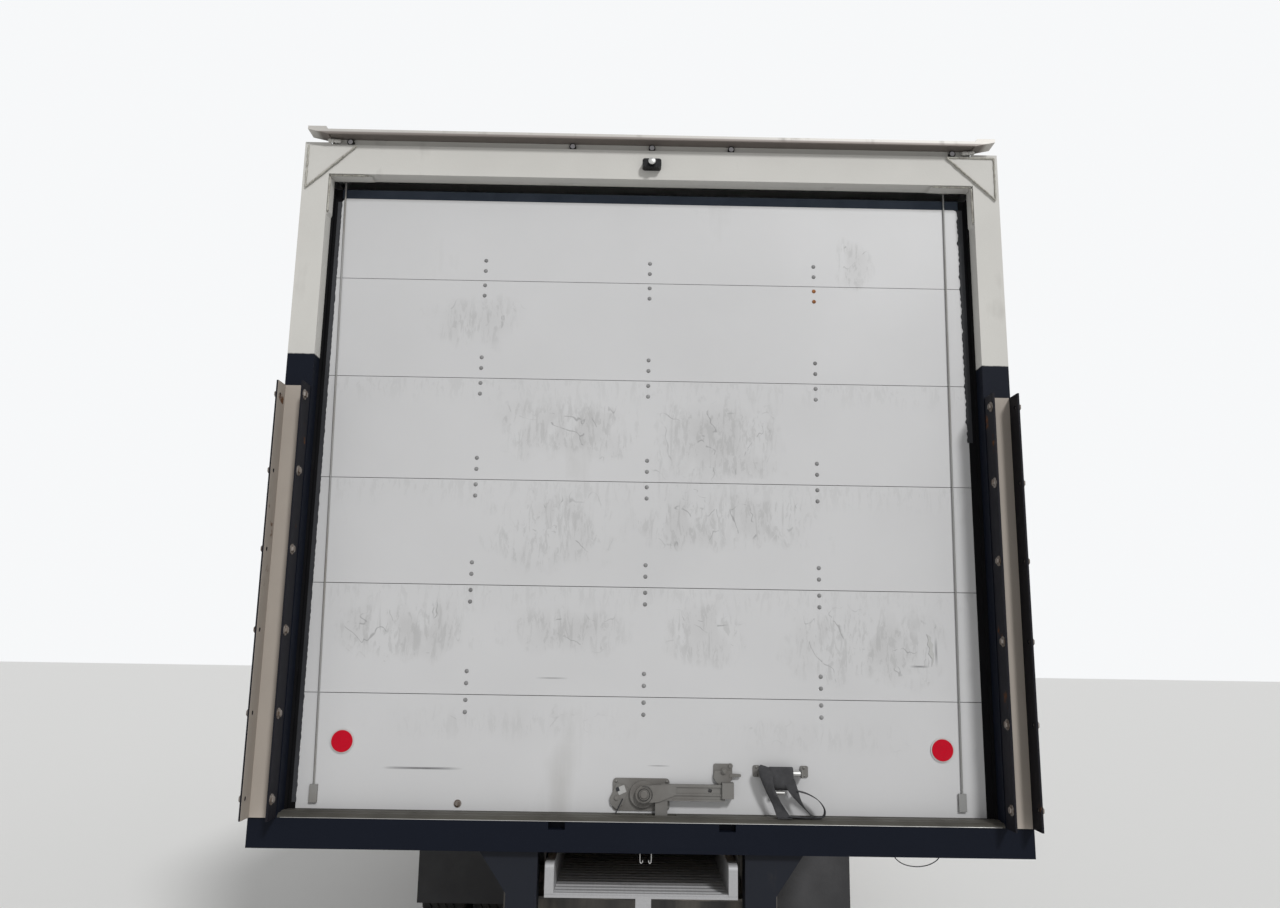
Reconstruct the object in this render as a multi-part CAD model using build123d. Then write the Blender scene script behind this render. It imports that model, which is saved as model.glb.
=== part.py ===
from build123d import *
from math import cos, pi, sin
import os

# A box truck: a cab with a tilting hood, a chassis with twin rear tyres and a van body with a
# roll-up rear door. Millimetres. The truck stands on z = 0, its nose points to -Y, x = 0 is its
# middle and y = 0 halves its length. Most sizes of the rear face are the real truck's own.

# Lengths along the truck, from the nose
bumper_to_cab_back = 2692
cab_gap = 100
body_length = 7315
lift_rail_depth = 75
nose_to_front_axle = 1000
wheelbase = 5994

# Van body
body_width = 2438
deck_z = 1118
roof_top = deck_z + 2270
wall_thick = 25
nose_radius = 100
nose_return = 115
deck_thick = 35
cross_sill_high = 76
cross_sill_pitch = 305
cross_sill_thick = 50
roof_thick = 22
skirt_rail_high = 105

# Rear frame: two posts, a header and a sill
post_wide = 90
post_depth = 60
frame_wall = 5
header_low = deck_z + 2127
header_high = deck_z + 2236
post_high = deck_z + 2244
ledge_high = deck_z + 2262
ledge_back = 15
gusset_in = 1039
gusset_foot = deck_z + 2072
gusset_edge = 14
gusset_thick = 4
corner_plate_in = 980
corner_plate_foot = deck_z + 1976
sill_high = deck_z - 15
sill_low = deck_z - 105
notch_x = 265
notch_wide = 52
notch_deep = 24
drip_rail_reach = 41
drip_rail_high = deck_z + 2274
drip_lip = 6
corner_cap_in = 1131
corner_cap_out = 1200
corner_cap_high = deck_z + 2284
corner_cap_thick = 12

# Roll-up door
door_wide = 2198
door_recess = 75
door_thick = 22
door_bottom_panel = 359
door_panel_pitch = 353
door_top_panel = 299
door_panels_between = 4
panel_gap = 2
door_corner = 20
head_seal_high = 33
lift_rail_wide = 87
lift_rail_wall = 6
lift_rail_top = deck_z + 1360
lift_rail_low = deck_z - 15
rail_bolt_first = deck_z + 47
rail_bolt_pitch = 254
rail_bolt_count = 6
rail_bolt_back = 50
rail_bolt_hole = 7

# Chassis
rail_out = 432
rail_flange = 80
rail_web = 8
rail_low = 686
rail_high = 940
member_long = 70

radiator_foot = rail_low + 74
shaft_clear = rail_low + 104
gearbox_end = 2080
bearing_back = 4426
shaft_front_z = 700
shaft_bearing_z = 560

# Wheels
tyre_radius = 465
tyre_wide = 255
rim_radius = 286
rim_wall = 9
rim_wide = 200
dual_spacing = 290
rear_dual_mid = 947
front_tyre_x = 990
disc_offset = 122
drum_radius = 205
hand_holes = 10
hand_hole_radius = 30
kingpin_x = 860
kingpin_radius = 24
spindle_radius = 38
bearing_gap = 0.4
running_gap = 6

# Cab
cab_half = 1040
cab_skin = 40
cab_floor_z = 960
door_gap = 8
glass_thick = 6
glass_inset = 16

# Hood
hood_skin = 12
hood_gap = 12
arch_radius = 565
hood_hinge_z = 700
hood_hinge_back = 121
fender_half = 1170
bumper_low = 380
bumper_high = 610

# Walk ramp, stowed under the deck
ramp_half = 297
ramp_rail_wide = 28
ramp_high = deck_z - 137
ramp_tread_z = deck_z - 237
ramp_length = 3660
ramp_rib_pitch = 37
ramp_rib_high = 3
seat_gap = 0.3

# Places that follow from the sizes
overall_length = bumper_to_cab_back + cab_gap + body_length + lift_rail_depth
front_y = -overall_length / 2
rear_y = overall_length / 2
rear_face_y = rear_y - lift_rail_depth
cab_back_y = front_y + bumper_to_cab_back
body_front_y = cab_back_y + cab_gap
front_axle_y = front_y + nose_to_front_axle
rear_axle_y = front_axle_y + wheelbase
door_face_y = rear_face_y - door_recess
deck_back_y = door_face_y - door_thick - 8
body_half = body_width / 2
post_in = body_half - post_wide
cross_sill_low = deck_z - deck_thick - cross_sill_high
ramp_clear = ramp_tread_z - 31
bearing_y = front_y + bearing_back
frame_back_y = rear_face_y - post_depth
wall_z = (deck_z - skirt_rail_high, roof_top - roof_thick - 4)


def block(x, y, z):
    """A box between two corners, each axis given as (low, high)."""
    middle = Pos((x[0] + x[1]) / 2, (y[0] + y[1]) / 2, (z[0] + z[1]) / 2)
    return middle * Box(x[1] - x[0], y[1] - y[0], z[1] - z[0])


def rod_x(radius, x, y, z):
    """A round bar along X."""
    return Pos((x[0] + x[1]) / 2, y, z) * Rot(0, 90, 0) * Cylinder(radius, x[1] - x[0])


def rod_y(radius, x, y, z):
    """A round bar along Y."""
    return Pos(x, (y[0] + y[1]) / 2, z) * Rot(90, 0, 0) * Cylinder(radius, y[1] - y[0])


def rod_z(radius, x, y, z):
    """A round bar along Z."""
    return Pos(x, y, (z[0] + z[1]) / 2) * Cylinder(radius, z[1] - z[0])


def outline(corners):
    """A closed flat face; a corner is (u, v), or (u, v, radius) where it is rounded."""
    points = [Vector(corner[0], corner[1]) for corner in corners]
    starts, ends, arcs = [], [], []
    for i, corner in enumerate(corners):
        here = points[i]
        if len(corner) < 3:
            starts.append(here)
            ends.append(here)
            continue
        back = (points[i - 1] - here).normalized()
        ahead = (points[(i + 1) % len(points)] - here).normalized()
        half = back.get_angle(ahead) / 2 * pi / 180
        inward = (back + ahead).normalized()
        start = here + back * (corner[2] * cos(half) / sin(half))
        end = here + ahead * (corner[2] * cos(half) / sin(half))
        crown = here + inward * (corner[2] / sin(half) - corner[2])
        starts.append(start)
        ends.append(end)
        arcs.append(ThreePointArc(start, crown, end))
    runs = [Line(ends[i - 1], starts[i]) for i in range(len(points))]
    return make_face(runs + arcs)


def slab_x(corners, x):
    """An outline in (Y, Z), thick along X."""
    return extrude(Plane.YZ.offset(x[0]).location * outline(corners), x[1] - x[0], dir=(1, 0, 0))


def slab_y(corners, y):
    """An outline in (X, Z), thick along Y."""
    return extrude(Plane.XZ.offset(-y[0]).location * outline(corners), y[1] - y[0], dir=(0, 1, 0))


def slab_z(corners, z):
    """An outline in (X, Y), thick along Z."""
    return extrude(Plane.XY.offset(z[0]).location * outline(corners), z[1] - z[0], dir=(0, 0, 1))


def flip(shape):
    """The same shape on the truck's other side."""
    return mirror(shape, about=Plane.YZ)


def on_side(shape, side_x):
    """A shape made for the left side, on the side that is asked for: 1 is left, -1 is right."""
    return shape if side_x > 0 else flip(shape)


def span(side_x, low, high):
    """A range along X, from low to high out from the middle, on one side."""
    return tuple(sorted((side_x * low, side_x * high)))


def pair(shape):
    """A shape and its twin on the other side."""
    return [shape, flip(shape)]


def even(corners):
    """An outline's right half in (X, v), closed by its mirror image."""
    return corners + [(-c[0],) + tuple(c[1:]) for c in reversed(corners)]


def save(name, *shapes):
    """Write one named piece; its solids keep their places."""
    solids = [solid for shape in shapes for solid in shape.solids()]
    export_step(Compound(children=solids, label=name), f"parts/{name}.step")


# Chassis

def frame_rails():
    """Two channel rails with cross members, spring hangers, hood hinge ears and bumper horns."""
    y = (front_y + 156, rear_face_y - 106)
    inside = rail_out - rail_flange
    rail = block((inside, rail_out), y, (rail_low, rail_high))
    rail -= block((inside - 1, rail_out - rail_web), y, (rail_low + rail_web, rail_high - rail_web))
    frame = rail + flip(rail)
    web_in = rail_out - rail_web
    for member_y, low, top in member_places():
        bar = block((-web_in, web_in), (member_y, member_y + member_long), (low, top))
        bar -= block((-web_in, web_in), (member_y + 8, member_y + member_long), (low + 8, top - 8))
        frame += bar
    for hanger in spring_hangers():
        frame += hanger + flip(hanger)
    frame += hood_ear() + flip(hood_ear())
    horn = slab_x([(front_y + 300, rail_low + 4), (front_y + 151, rail_low + 4),
                   (front_y + 151, bumper_high - 12), (front_y + 8, bumper_high - 12),
                   (front_y + 8, bumper_low + 40), (front_y + 191, bumper_low + 40)],
                  (rail_out - 32, rail_out))
    frame += horn + flip(horn)
    save("frame_rails", frame)


def member_places():
    """Each cross member's front face, its underside and its top; those at the rear clear the ramp."""
    low, high = rail_low + rail_web, rail_high - rail_web
    return [(front_y + 231, low, radiator_foot), (front_y + 2420, shaft_clear, high),
            (front_y + 3391, shaft_clear, high), (bearing_y - member_long / 2, shaft_clear, high),
            (front_y + 5391, low, ramp_clear), (rear_axle_y - 653, low, ramp_clear),
            (rear_axle_y + 647, low, ramp_clear), (rear_axle_y + 1797, low, ramp_clear),
            (rear_face_y - 216, low, ramp_clear)]


# Leaf packs: middle x, half span, eye height, seat height, hanger's outer x and its top
front_spring = dict(x=392, axle_y=front_axle_y, half_span=640, eye_z=632, seat_z=512, leaves=3,
                    hanger=(344, 440), hanger_top=rail_low + 4)
rear_spring = dict(x=486, axle_y=rear_axle_y, half_span=640, eye_z=640, seat_z=574, leaves=4,
                   hanger=(rail_out - 2, 540), hanger_top=rail_low + 90)
spring_wide = 70
leaf_thick = 12
eye_radius = 26
eye_pin = 12


def spring_hangers():
    """The slotted brackets that hold the leaf packs' eyes, each with its pin."""
    hangers = []
    for spring in (front_spring, rear_spring):
        slot_half = spring_wide / 2 + seat_gap
        for end in (-1, 1):
            y = spring["axle_y"] + end * spring["half_span"]
            bracket = block(spring["hanger"], (y - 38, y + 38), (spring["eye_z"] - 24, spring["hanger_top"]))
            slot_top = spring["eye_z"] + eye_radius + 6
            bracket -= block((spring["x"] - slot_half, spring["x"] + slot_half), (y - 39, y + 39),
                             (spring["eye_z"] - 60, slot_top))
            bracket += rod_x(eye_pin, spring["hanger"], y, spring["eye_z"])
            hangers.append(bracket)
    return hangers


def leaf_pack(spring):
    """One leaf pack: an eyed main leaf bowed down to the seat, with shorter leaves under it."""
    y, rise = spring["axle_y"], spring["eye_z"] - spring["seat_z"] - leaf_thick
    pack = None
    for n in range(spring["leaves"]):
        half = spring["half_span"] * (1 - 0.24 * n)
        lift = rise * (half / spring["half_span"]) ** 2
        top = spring["seat_z"] - n * leaf_thick + leaf_thick
        upper = ThreePointArc((y - half, top + lift), (y, top), (y + half, top + lift))
        lower = ThreePointArc((y + half, top + lift - leaf_thick), (y, top - leaf_thick),
                              (y - half, top + lift - leaf_thick))
        ends = [Line((y + half, top + lift), (y + half, top + lift - leaf_thick)),
                Line((y - half, top + lift - leaf_thick), (y - half, top + lift))]
        face = make_face([upper, lower] + ends)
        leaf = extrude(Plane.YZ.offset(spring["x"] - spring_wide / 2).location * face, spring_wide,
                       dir=(1, 0, 0))
        pack = leaf if pack is None else pack + leaf
    across = (spring["x"] - spring_wide / 2, spring["x"] + spring_wide / 2)
    for end in (-1, 1):
        pack += rod_x(eye_radius, across, y + end * spring["half_span"], spring["eye_z"])
    for end in (-1, 1):
        pack -= rod_x(eye_pin + seat_gap, (across[0] - 1, across[1] + 1),
                      y + end * spring["half_span"], spring["eye_z"])
    return pack


def leaf_springs():
    """Four leaf packs."""
    save("leaf_springs", *pair(leaf_pack(front_spring)), *pair(leaf_pack(rear_spring)))


def hood_ear():
    """The frame's ear and pin on which the hood tilts."""
    y = front_y + hood_hinge_back
    ear = slab_x([(y - 28, hood_hinge_z - 28, 22), (y + 90, hood_hinge_z - 10), (y + 90, hood_hinge_z + 28),
                  (y - 28, hood_hinge_z + 28, 22)], (382, 396))
    return ear + rod_x(11, (358, 396), y, hood_hinge_z)


def engine_block():
    """Engine and gearbox as plain blocks, with feet on the frame rails."""
    engine = block((-300, 300), (front_y + 411, front_y + 1441), (640, 1320))
    gearbox = slab_z(even([(190, front_y + 1441), (130, front_y + gearbox_end)]), (620, 900))
    engine += gearbox
    for y in (front_y + 560, front_y + 1290):
        engine += block((-400, 400), (y - 40, y + 40), (rail_high, rail_high + 24))
    save("engine_block", engine)


def radiator():
    """The radiator and its tanks, on the front cross member."""
    y = (front_y + 236, front_y + 296)
    core = block((-320, 320), (y[0] + 8, y[1] - 8), (radiator_foot, 1270))
    core += block((-344, -320), y, (radiator_foot, 1290)) + block((320, 344), y, (radiator_foot, 1290))
    save("radiator", core + block((-344, 344), y, (1262, 1290)))


def front_axle():
    """A forged I-beam, dropped between its ends, with a boss at each kingpin."""
    beam_low, beam_high, rise = 372, 472, 46
    side = [(560, beam_high), (700, beam_high + rise, 120), (kingpin_x, beam_high + rise)]
    under = [(kingpin_x, beam_low + rise + 14), (700, beam_low + rise, 120), (560, beam_low)]
    beam = slab_y(even(side + under), (front_axle_y - 45, front_axle_y + 45))
    groove = even([(545, beam_high - 18), (690, beam_high + rise - 18),
                   (kingpin_x - 70, beam_high + rise - 18), (kingpin_x - 70, beam_low + rise + 26),
                   (700, beam_low + rise + 18), (565, beam_low + 18)])
    for y in ((front_axle_y - 60, front_axle_y - 15), (front_axle_y + 15, front_axle_y + 60)):
        beam -= slab_y(groove, y)
    for side_x in (-1, 1):
        beam += rod_z(46, side_x * kingpin_x, front_axle_y, (tyre_radius - 52, tyre_radius + 52))
        seat = (front_spring["x"] - 45, front_spring["x"] + 45)
        low = front_spring["seat_z"] - (front_spring["leaves"] - 1) * leaf_thick
        pad = block(seat, (front_axle_y - 70, front_axle_y + 70), (beam_high - 10, low))
        beam += on_side(pad, side_x)
    for side_x in (-1, 1):
        beam -= rod_z(kingpin_radius + bearing_gap, side_x * kingpin_x, front_axle_y, (300, 600))
    save("front_axle", beam)


def rear_axle():
    """The rear axle housing with its differential, brake plates, spring seats and drive shaft."""
    z = tyre_radius
    housing = rod_x(62, (-720, 720), rear_axle_y, z)
    housing += Pos(0, rear_axle_y, z) * Rot(0, 90, 0) * Cylinder(200, 150)
    housing += Pos(0, rear_axle_y - 190, z + 10) * Rot(90, 0, 0) * Cone(70, 150, 180)
    housing += rod_y(45, 0, (rear_axle_y - 340, rear_axle_y - 270), z + 10)
    for side_x in (-1, 1):
        housing += rod_x(spindle_radius + 4, span(side_x, 700, rear_dual_mid + 70), rear_axle_y, z)
        housing += rod_x(190, span(side_x, 716, 728), rear_axle_y, z)
    seat_low = rear_spring["seat_z"] - (rear_spring["leaves"] - 1) * leaf_thick
    seat_x = (rear_spring["x"] - 45, rear_spring["x"] + 45)
    for pad in pair(block(seat_x, (rear_axle_y - 80, rear_axle_y + 80), (z + 20, seat_low))):
        housing += pad
    joint_y = front_y + gearbox_end + 62
    housing += rod_y(55, 0, (front_y + gearbox_end, joint_y), shaft_front_z)
    housing += drive_tube((0, joint_y, shaft_front_z), (0, bearing_y, shaft_bearing_z))
    housing += drive_tube((0, bearing_y, shaft_bearing_z), (0, rear_axle_y - 340, z + 10))
    housing += rod_y(75, 0, (bearing_y - 30, bearing_y + 30), shaft_bearing_z)
    housing += block((-60, 60), (bearing_y - 25, bearing_y + 25), (shaft_bearing_z + 40, shaft_clear))
    save("rear_axle", housing)


def drive_tube(start, end):
    """One drive shaft tube with a joint at each end."""
    route = Line(start, end)
    tube = sweep(Plane(origin=start, z_dir=Vector(*end) - Vector(*start)) * Circle(48), path=route)
    for place in (start, end):
        tube += Pos(*place) * Sphere(62)
    return tube


def tyre(middle_x, axle_y):
    """One tyre, with a flat tread, rounded shoulders and open beads."""
    half = tyre_wide / 2
    bead = rim_wide / 2 - 16
    seat = rim_radius + seat_gap
    section = [(-bead, seat), (-half, rim_radius + 70), (-half + 6, tyre_radius - 40),
               (-half + 26, tyre_radius), (half - 26, tyre_radius), (half - 6, tyre_radius - 40),
               (half, rim_radius + 70), (bead, seat), (bead - 20, tyre_radius - 46),
               (-bead + 20, tyre_radius - 46)]
    return Pos(middle_x, axle_y, tyre_radius) * revolve(make_face(Polyline(*section, close=True)), Axis.X)


def wheel_disc(middle_x, axle_y, out):
    """One steel disc wheel: a flanged barrel and a dished disc with hand holes; out is -1 or 1."""
    half = rim_wide / 2
    face_x = disc_offset * out
    barrel = [(-half, rim_radius + 14), (-half + 4, rim_radius + 14), (-half + 14, rim_radius),
              (half - 14, rim_radius), (half - 4, rim_radius + 14), (half, rim_radius + 14),
              (half, rim_radius - rim_wall), (-half, rim_radius - rim_wall)]
    disc = [(face_x, 60), (face_x, 175), (out * (half - 52), rim_radius - rim_wall + 1),
            (out * (half - 72), rim_radius - rim_wall + 1), (face_x - 12 * out, 168), (face_x - 12 * out, 60)]
    rim = revolve(make_face(Polyline(*barrel, close=True)), Axis.X)
    rim += revolve(make_face(Polyline(*disc, close=True)), Axis.X)
    for i in range(hand_holes):
        turn = 360 / hand_holes * i
        hole = Rot(turn, 0, 0) * Pos(0, 0, 218) * Rot(0, 90, 0) * Cylinder(hand_hole_radius, 4 * half)
        rim -= hole
    return Pos(middle_x, axle_y, tyre_radius) * rim


def hub(axle_y, side_x, flange_x, drum_x, cap_x, bore):
    """A wheel hub with its flange, brake drum, cap and bearing bore, on one side of the truck."""
    z = tyre_radius
    body = rod_x(78, span(side_x, flange_x - 150, cap_x - 40), axle_y, z)
    body += rod_x(168, span(side_x, flange_x - 16, flange_x), axle_y, z)
    body += rod_x(62, span(side_x, cap_x - 60, cap_x), axle_y, z)
    drum = rod_x(drum_radius, span(side_x, drum_x, flange_x - 10), axle_y, z)
    drum -= rod_x(drum_radius - 9, span(side_x, drum_x - 1, flange_x - 24), axle_y, z)
    body += drum
    return body - rod_x(bore + bearing_gap, span(side_x, flange_x - 160, cap_x - 24), axle_y, z)


def front_wheel(side_x):
    """One front wheel's steel: disc wheel, hub and drum."""
    face = front_tyre_x + disc_offset
    steel = wheel_disc(side_x * front_tyre_x, front_axle_y, side_x)
    return steel + hub(front_axle_y, side_x, face - 11, 922, face + 62, spindle_radius)


def rear_wheel(side_x):
    """A rear twin wheel's steel: two disc wheels back to back, hub and drum."""
    outer = rear_dual_mid + dual_spacing / 2
    inner = rear_dual_mid - dual_spacing / 2
    steel = wheel_disc(side_x * outer, rear_axle_y, -side_x)
    steel += wheel_disc(side_x * inner, rear_axle_y, side_x)
    disc_face = inner + disc_offset
    steel += rod_x(172, span(side_x, disc_face - 4, outer - disc_offset + 4), rear_axle_y, tyre_radius)
    return steel + hub(rear_axle_y, side_x, disc_face, 736, rear_dual_mid + 130, spindle_radius + 4)


def wheels():
    """Tyres and steel wheels; a rear side's twin tyres share a piece."""
    outer = rear_dual_mid + dual_spacing / 2
    inner = rear_dual_mid - dual_spacing / 2
    bore = rod_x(spindle_radius + 4 + bearing_gap, (-1100, 1100), rear_axle_y, tyre_radius)
    limit = rear_dual_mid + 106
    bore &= block((-limit, limit), (rear_axle_y - 90, rear_axle_y + 90), (tyre_radius - 90, tyre_radius + 90))
    for side, side_x in (("left", 1), ("right", -1)):
        save(f"tyre_front_{side}", tyre(side_x * front_tyre_x, front_axle_y))
        save(f"tyres_rear_{side}", tyre(side_x * outer, rear_axle_y), tyre(side_x * inner, rear_axle_y))
        save(f"wheel_front_{side}", front_wheel(side_x))
        save(f"wheels_rear_{side}", rear_wheel(side_x) - bore)


# Steering: both knuckles' arms reach straight back, so the tie rod and they stay a parallelogram
arm_back = 190
arm_z = tyre_radius - 92
tie_rod_radius = 18


def knuckle(side_x):
    """A steering knuckle: two ears on a kingpin, a spindle, a brake plate and a steering arm."""
    z = tyre_radius
    y = (front_axle_y - 52, front_axle_y + 52)
    body = block(span(side_x, kingpin_x + 52, kingpin_x + 78), y, (z - 112, z + 112))
    for low, high in ((z + 62, z + 112), (z - 112, z - 62)):
        body += block(span(side_x, kingpin_x, kingpin_x + 60), y, (low, high))
        body += rod_z(52, side_x * kingpin_x, front_axle_y, (low, high))
    body += rod_z(kingpin_radius, side_x * kingpin_x, front_axle_y, (z - 112, z + 112))
    face = front_tyre_x + disc_offset
    body += rod_x(spindle_radius, span(side_x, kingpin_x + 60, face + 20), front_axle_y, z)
    body += rod_x(190, span(side_x, kingpin_x + 70, kingpin_x + 82), front_axle_y, z)
    arm_end = front_axle_y + arm_back + 24
    arm = slab_z([(kingpin_x + 30, front_axle_y + 20), (kingpin_x - 30, front_axle_y + 20),
                  (kingpin_x - 24, arm_end, 20), (kingpin_x + 24, arm_end, 20)], (z - 108, z - 80))
    body += on_side(arm, side_x)
    return body + rod_z(14, side_x * kingpin_x, front_axle_y + arm_back, (z - 140, z - 100))


def tie_rod():
    """The rod between both steering arms, with a socket under each."""
    y, z = front_axle_y + arm_back, tyre_radius - 128
    rod = rod_x(tie_rod_radius, (-kingpin_x, kingpin_x), y, z)
    for side_x in (-1, 1):
        rod += rod_z(28, side_x * kingpin_x, y, (z - 20, z + 14))
        rod -= rod_z(14 + bearing_gap * 2, side_x * kingpin_x, y, (z - 13, z + 20))
    return rod


def steering():
    """Both knuckles and the tie rod."""
    save("knuckle_left", knuckle(1))
    save("knuckle_right", knuckle(-1))
    save("tie_rod", tie_rod())


# Steps below the cab doors
step_heights = (500, 760)
step_thick = 24


def fuel_tank():
    """An aluminium tank with rounded edges under the left door, two straps, brackets and steps."""
    y = (front_y + 1631, front_y + 2701)
    tank = slab_y([(520, 470, 90), (1000, 470, 90), (1000, 890, 90), (520, 890, 90)], y)
    for strap_y in (y[0] + 180, y[1] - 240):
        band = slab_y([(512, 462, 96), (1008, 462, 96), (1008, 898, 96), (512, 898, 96)],
                      (strap_y, strap_y + 60))
        tank += band
        tank += block((rail_out, 530), (strap_y, strap_y + 60), (720, 860))
        for step_z in step_heights:
            tank += block((990, 1110), (strap_y + 22, strap_y + 38), (step_z - 50, step_z))
    for step_z in step_heights:
        tank += block((1000, 1130), (y[0] + 90, y[1] - 90), (step_z, step_z + step_thick))
    return tank


def battery_box():
    """The battery box under the right door, with steps on its face."""
    y = (front_y + 1631, front_y + 2491)
    box = block((-1000, -560), y, (480, 880))
    for bracket_y in (y[0] + 120, y[1] - 180):
        box += block((-570, -rail_out), (bracket_y, bracket_y + 60), (740, 860))
        for step_z in step_heights:
            box += block((-1110, -990), (bracket_y + 22, bracket_y + 38), (step_z - 50, step_z))
    for step_z in step_heights:
        box += block((-1130, -1000), (y[0] + 40, y[1] - 40), (step_z, step_z + step_thick))
    return box


def exhaust():
    """A muffler behind the battery box, its pipe from the engine and its outlet ahead of the axle."""
    x, z, radius = -640, 640, 150
    y = (front_y + 2700, front_y + 3800)
    system = rod_y(radius, x, y, z)
    for bracket_y in (y[0] + 200, y[1] - 260):
        system += block((-560, -rail_out), (bracket_y, bracket_y + 50), (700, 760))
    inlet = FilletPolyline((-250, front_y + 1441, 760), (-250, front_y + 1560, 760),
                           (-250, front_y + 1700, 630), (-495, front_y + 1900, 630),
                           (-495, y[0] - 120, 630), (-600, y[0] + 20, z), radius=60)
    system += sweep(Plane(origin=inlet @ 0, z_dir=inlet % 0) * Circle(40), path=inlet)
    outlet = FilletPolyline((x, y[1] - 20, z), (x, y[1] + 250, z), (x - 360, y[1] + 420, z - 60), radius=90)
    system += sweep(Plane(origin=outlet @ 0, z_dir=outlet % 0) * Circle(45), path=outlet)
    return system


def front_bumper():
    """A pressed steel bumper with swept-back ends and turned-in lips."""
    edge = even([(0, front_y), (860, front_y, 400), (fender_half, front_y + 100, 60),
                 (fender_half, front_y + 200)])
    inner = even([(0, front_y + 8), (856, front_y + 8, 392), (fender_half - 8, front_y + 106, 52),
                  (fender_half - 8, front_y + 201)])
    bumper = slab_z(edge[1:-1], (bumper_low, bumper_high))
    bumper -= slab_z(inner[1:-1], (bumper_low + 8, bumper_high - 8))
    hollow = even([(0, front_y + 60), (846, front_y + 60, 340), (fender_half - 60, front_y + 150, 40),
                   (fender_half - 60, front_y + 220)])
    return bumper - slab_z(hollow[1:-1], (bumper_low - 1, bumper_high + 1))


def chassis():
    """Everything below the cab and the body that doesn't turn."""
    frame_rails()
    leaf_springs()
    engine_block()
    radiator()
    front_axle()
    rear_axle()
    save("fuel_tank", fuel_tank())
    save("battery_box", battery_box())
    save("exhaust", exhaust())
    save("front_bumper", front_bumper())


# Cab: windscreen foot, roof edge and belt line
cowl_y = front_y + 1491
cowl_z = 1560
screen_top_y = cowl_y + 540
screen_top_z = 2330
roof_z = 2440
belt_half = cab_half
roof_half = 960
roof_corner = 150
pillar_round = 60
pillar_least = 400
cab_corner = 70
roof_joint_z = screen_top_z - 14


# Cab doors: how far behind the cowl their front edge is, and their hinge barrels on the swing axis
door_edge_back = 120
hinge_out = 4
hinge_radius = 10
hinge_pin = 5
hinge_play = 1
hinge_high = 110
lug_high = 14
hinge_places = (1100, 1380)


def cab_form(t):
    """The cab's closed outer form, or the smaller one that lies t inside it."""
    side = slab_x([(cowl_y + t, cab_floor_z + t), (cowl_y + t, cowl_z, 60 - t),
                   (cowl_y + 60 + t, cowl_z + 50 - t / 2), (screen_top_y + t, screen_top_z - t / 2, 140 - t),
                   (screen_top_y + 150, roof_z - t, 240 - t), (cab_back_y - t, roof_z - 20 - t, 90 - t),
                   (cab_back_y - t, cab_floor_z + t)], (-cab_half, cab_half))
    front = slab_y(even([(belt_half - t, cab_floor_z + t), (belt_half - t, cowl_z),
                         (roof_half - t, roof_z - t, roof_corner - t)]), (cowl_y - 10, cab_back_y + 10))
    half, corner = cab_half - t, cab_corner - t
    plan = slab_z([(-half, cowl_y + t, corner), (half, cowl_y + t, corner),
                   (half, cab_back_y - t, corner), (-half, cab_back_y - t, corner)],
                  (cab_floor_z, roof_z + 10))
    form = side & front & plan
    pillars = [edge for edge in form.edges()
               if edge.length > pillar_least and cowl_z < edge.center().Z < screen_top_z
               and edge.center().Y < screen_top_y and abs(edge.center().X) > roof_half - pillar_round]
    return fillet(pillars, pillar_round - t)


def door_outline(grow):
    """A cab door's edge in (Y, Z), moved out by grow."""
    front, back, low, g = cowl_y + door_edge_back, cab_back_y - 170, cab_floor_z + cab_skin + 4, grow
    return [(front - g, low - g, 40), (front - g, cowl_z + g / 2),
            (screen_top_y + 60 - g / 2, screen_top_z - 40 + g, 60), (back + g, screen_top_z - 40 + g, 40),
            (back + g, low - g, 40)]


def on_hinge_axis(radius, low, high):
    """Round bars on the left door's swing axis, from low to high above the foot of each hinge."""
    x, y = cab_half + hinge_out, cowl_y + door_edge_back - hinge_out
    bars = [rod_z(radius, x, y, (z + low, z + high)) for z in hinge_places]
    return bars[0] + bars[1]


def hinge_pockets():
    """What the left door loses where the cab's hinge lugs turn in it."""
    above = hinge_high + hinge_play
    return (on_hinge_axis(hinge_radius + 3, -lug_high - 2 * hinge_play, -hinge_play / 2)
            + on_hinge_axis(hinge_radius + 3, above - hinge_play / 2, above + lug_high + hinge_play))


def hinge_lugs():
    """The cab's two lugs and the pin at each of the left door's hinges."""
    y = cowl_y + door_edge_back - hinge_out
    lugs = on_hinge_axis(hinge_pin, -lug_high - hinge_play, hinge_high + hinge_play + lug_high)
    for low in (-lug_high - hinge_play, hinge_high + hinge_play):
        lugs += on_hinge_axis(hinge_radius, low, low + lug_high)
        for z in hinge_places:
            lugs += block((cab_half - 8, cab_half + hinge_out + hinge_radius - 2), (y - 30, y),
                          (z + low, z + low + lug_high))
    return lugs


def window_outline(grow):
    """A cab door window's edge in (Y, Z)."""
    g = grow
    return [(cowl_y + 240 - g, cowl_z + 20 - g, 40), (screen_top_y + 90 - g / 2, screen_top_z - 115 + g, 50),
            (cab_back_y - 240 + g, screen_top_z - 115 + g, 50), (cab_back_y - 240 + g, cowl_z + 20 - g, 50)]


screen_outline = [(900, cowl_z + 75, 60), (810, screen_top_z - 30, 70)]
rear_window_outline = [(380, 1760, 50), (380, 2150, 50)]


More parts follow.
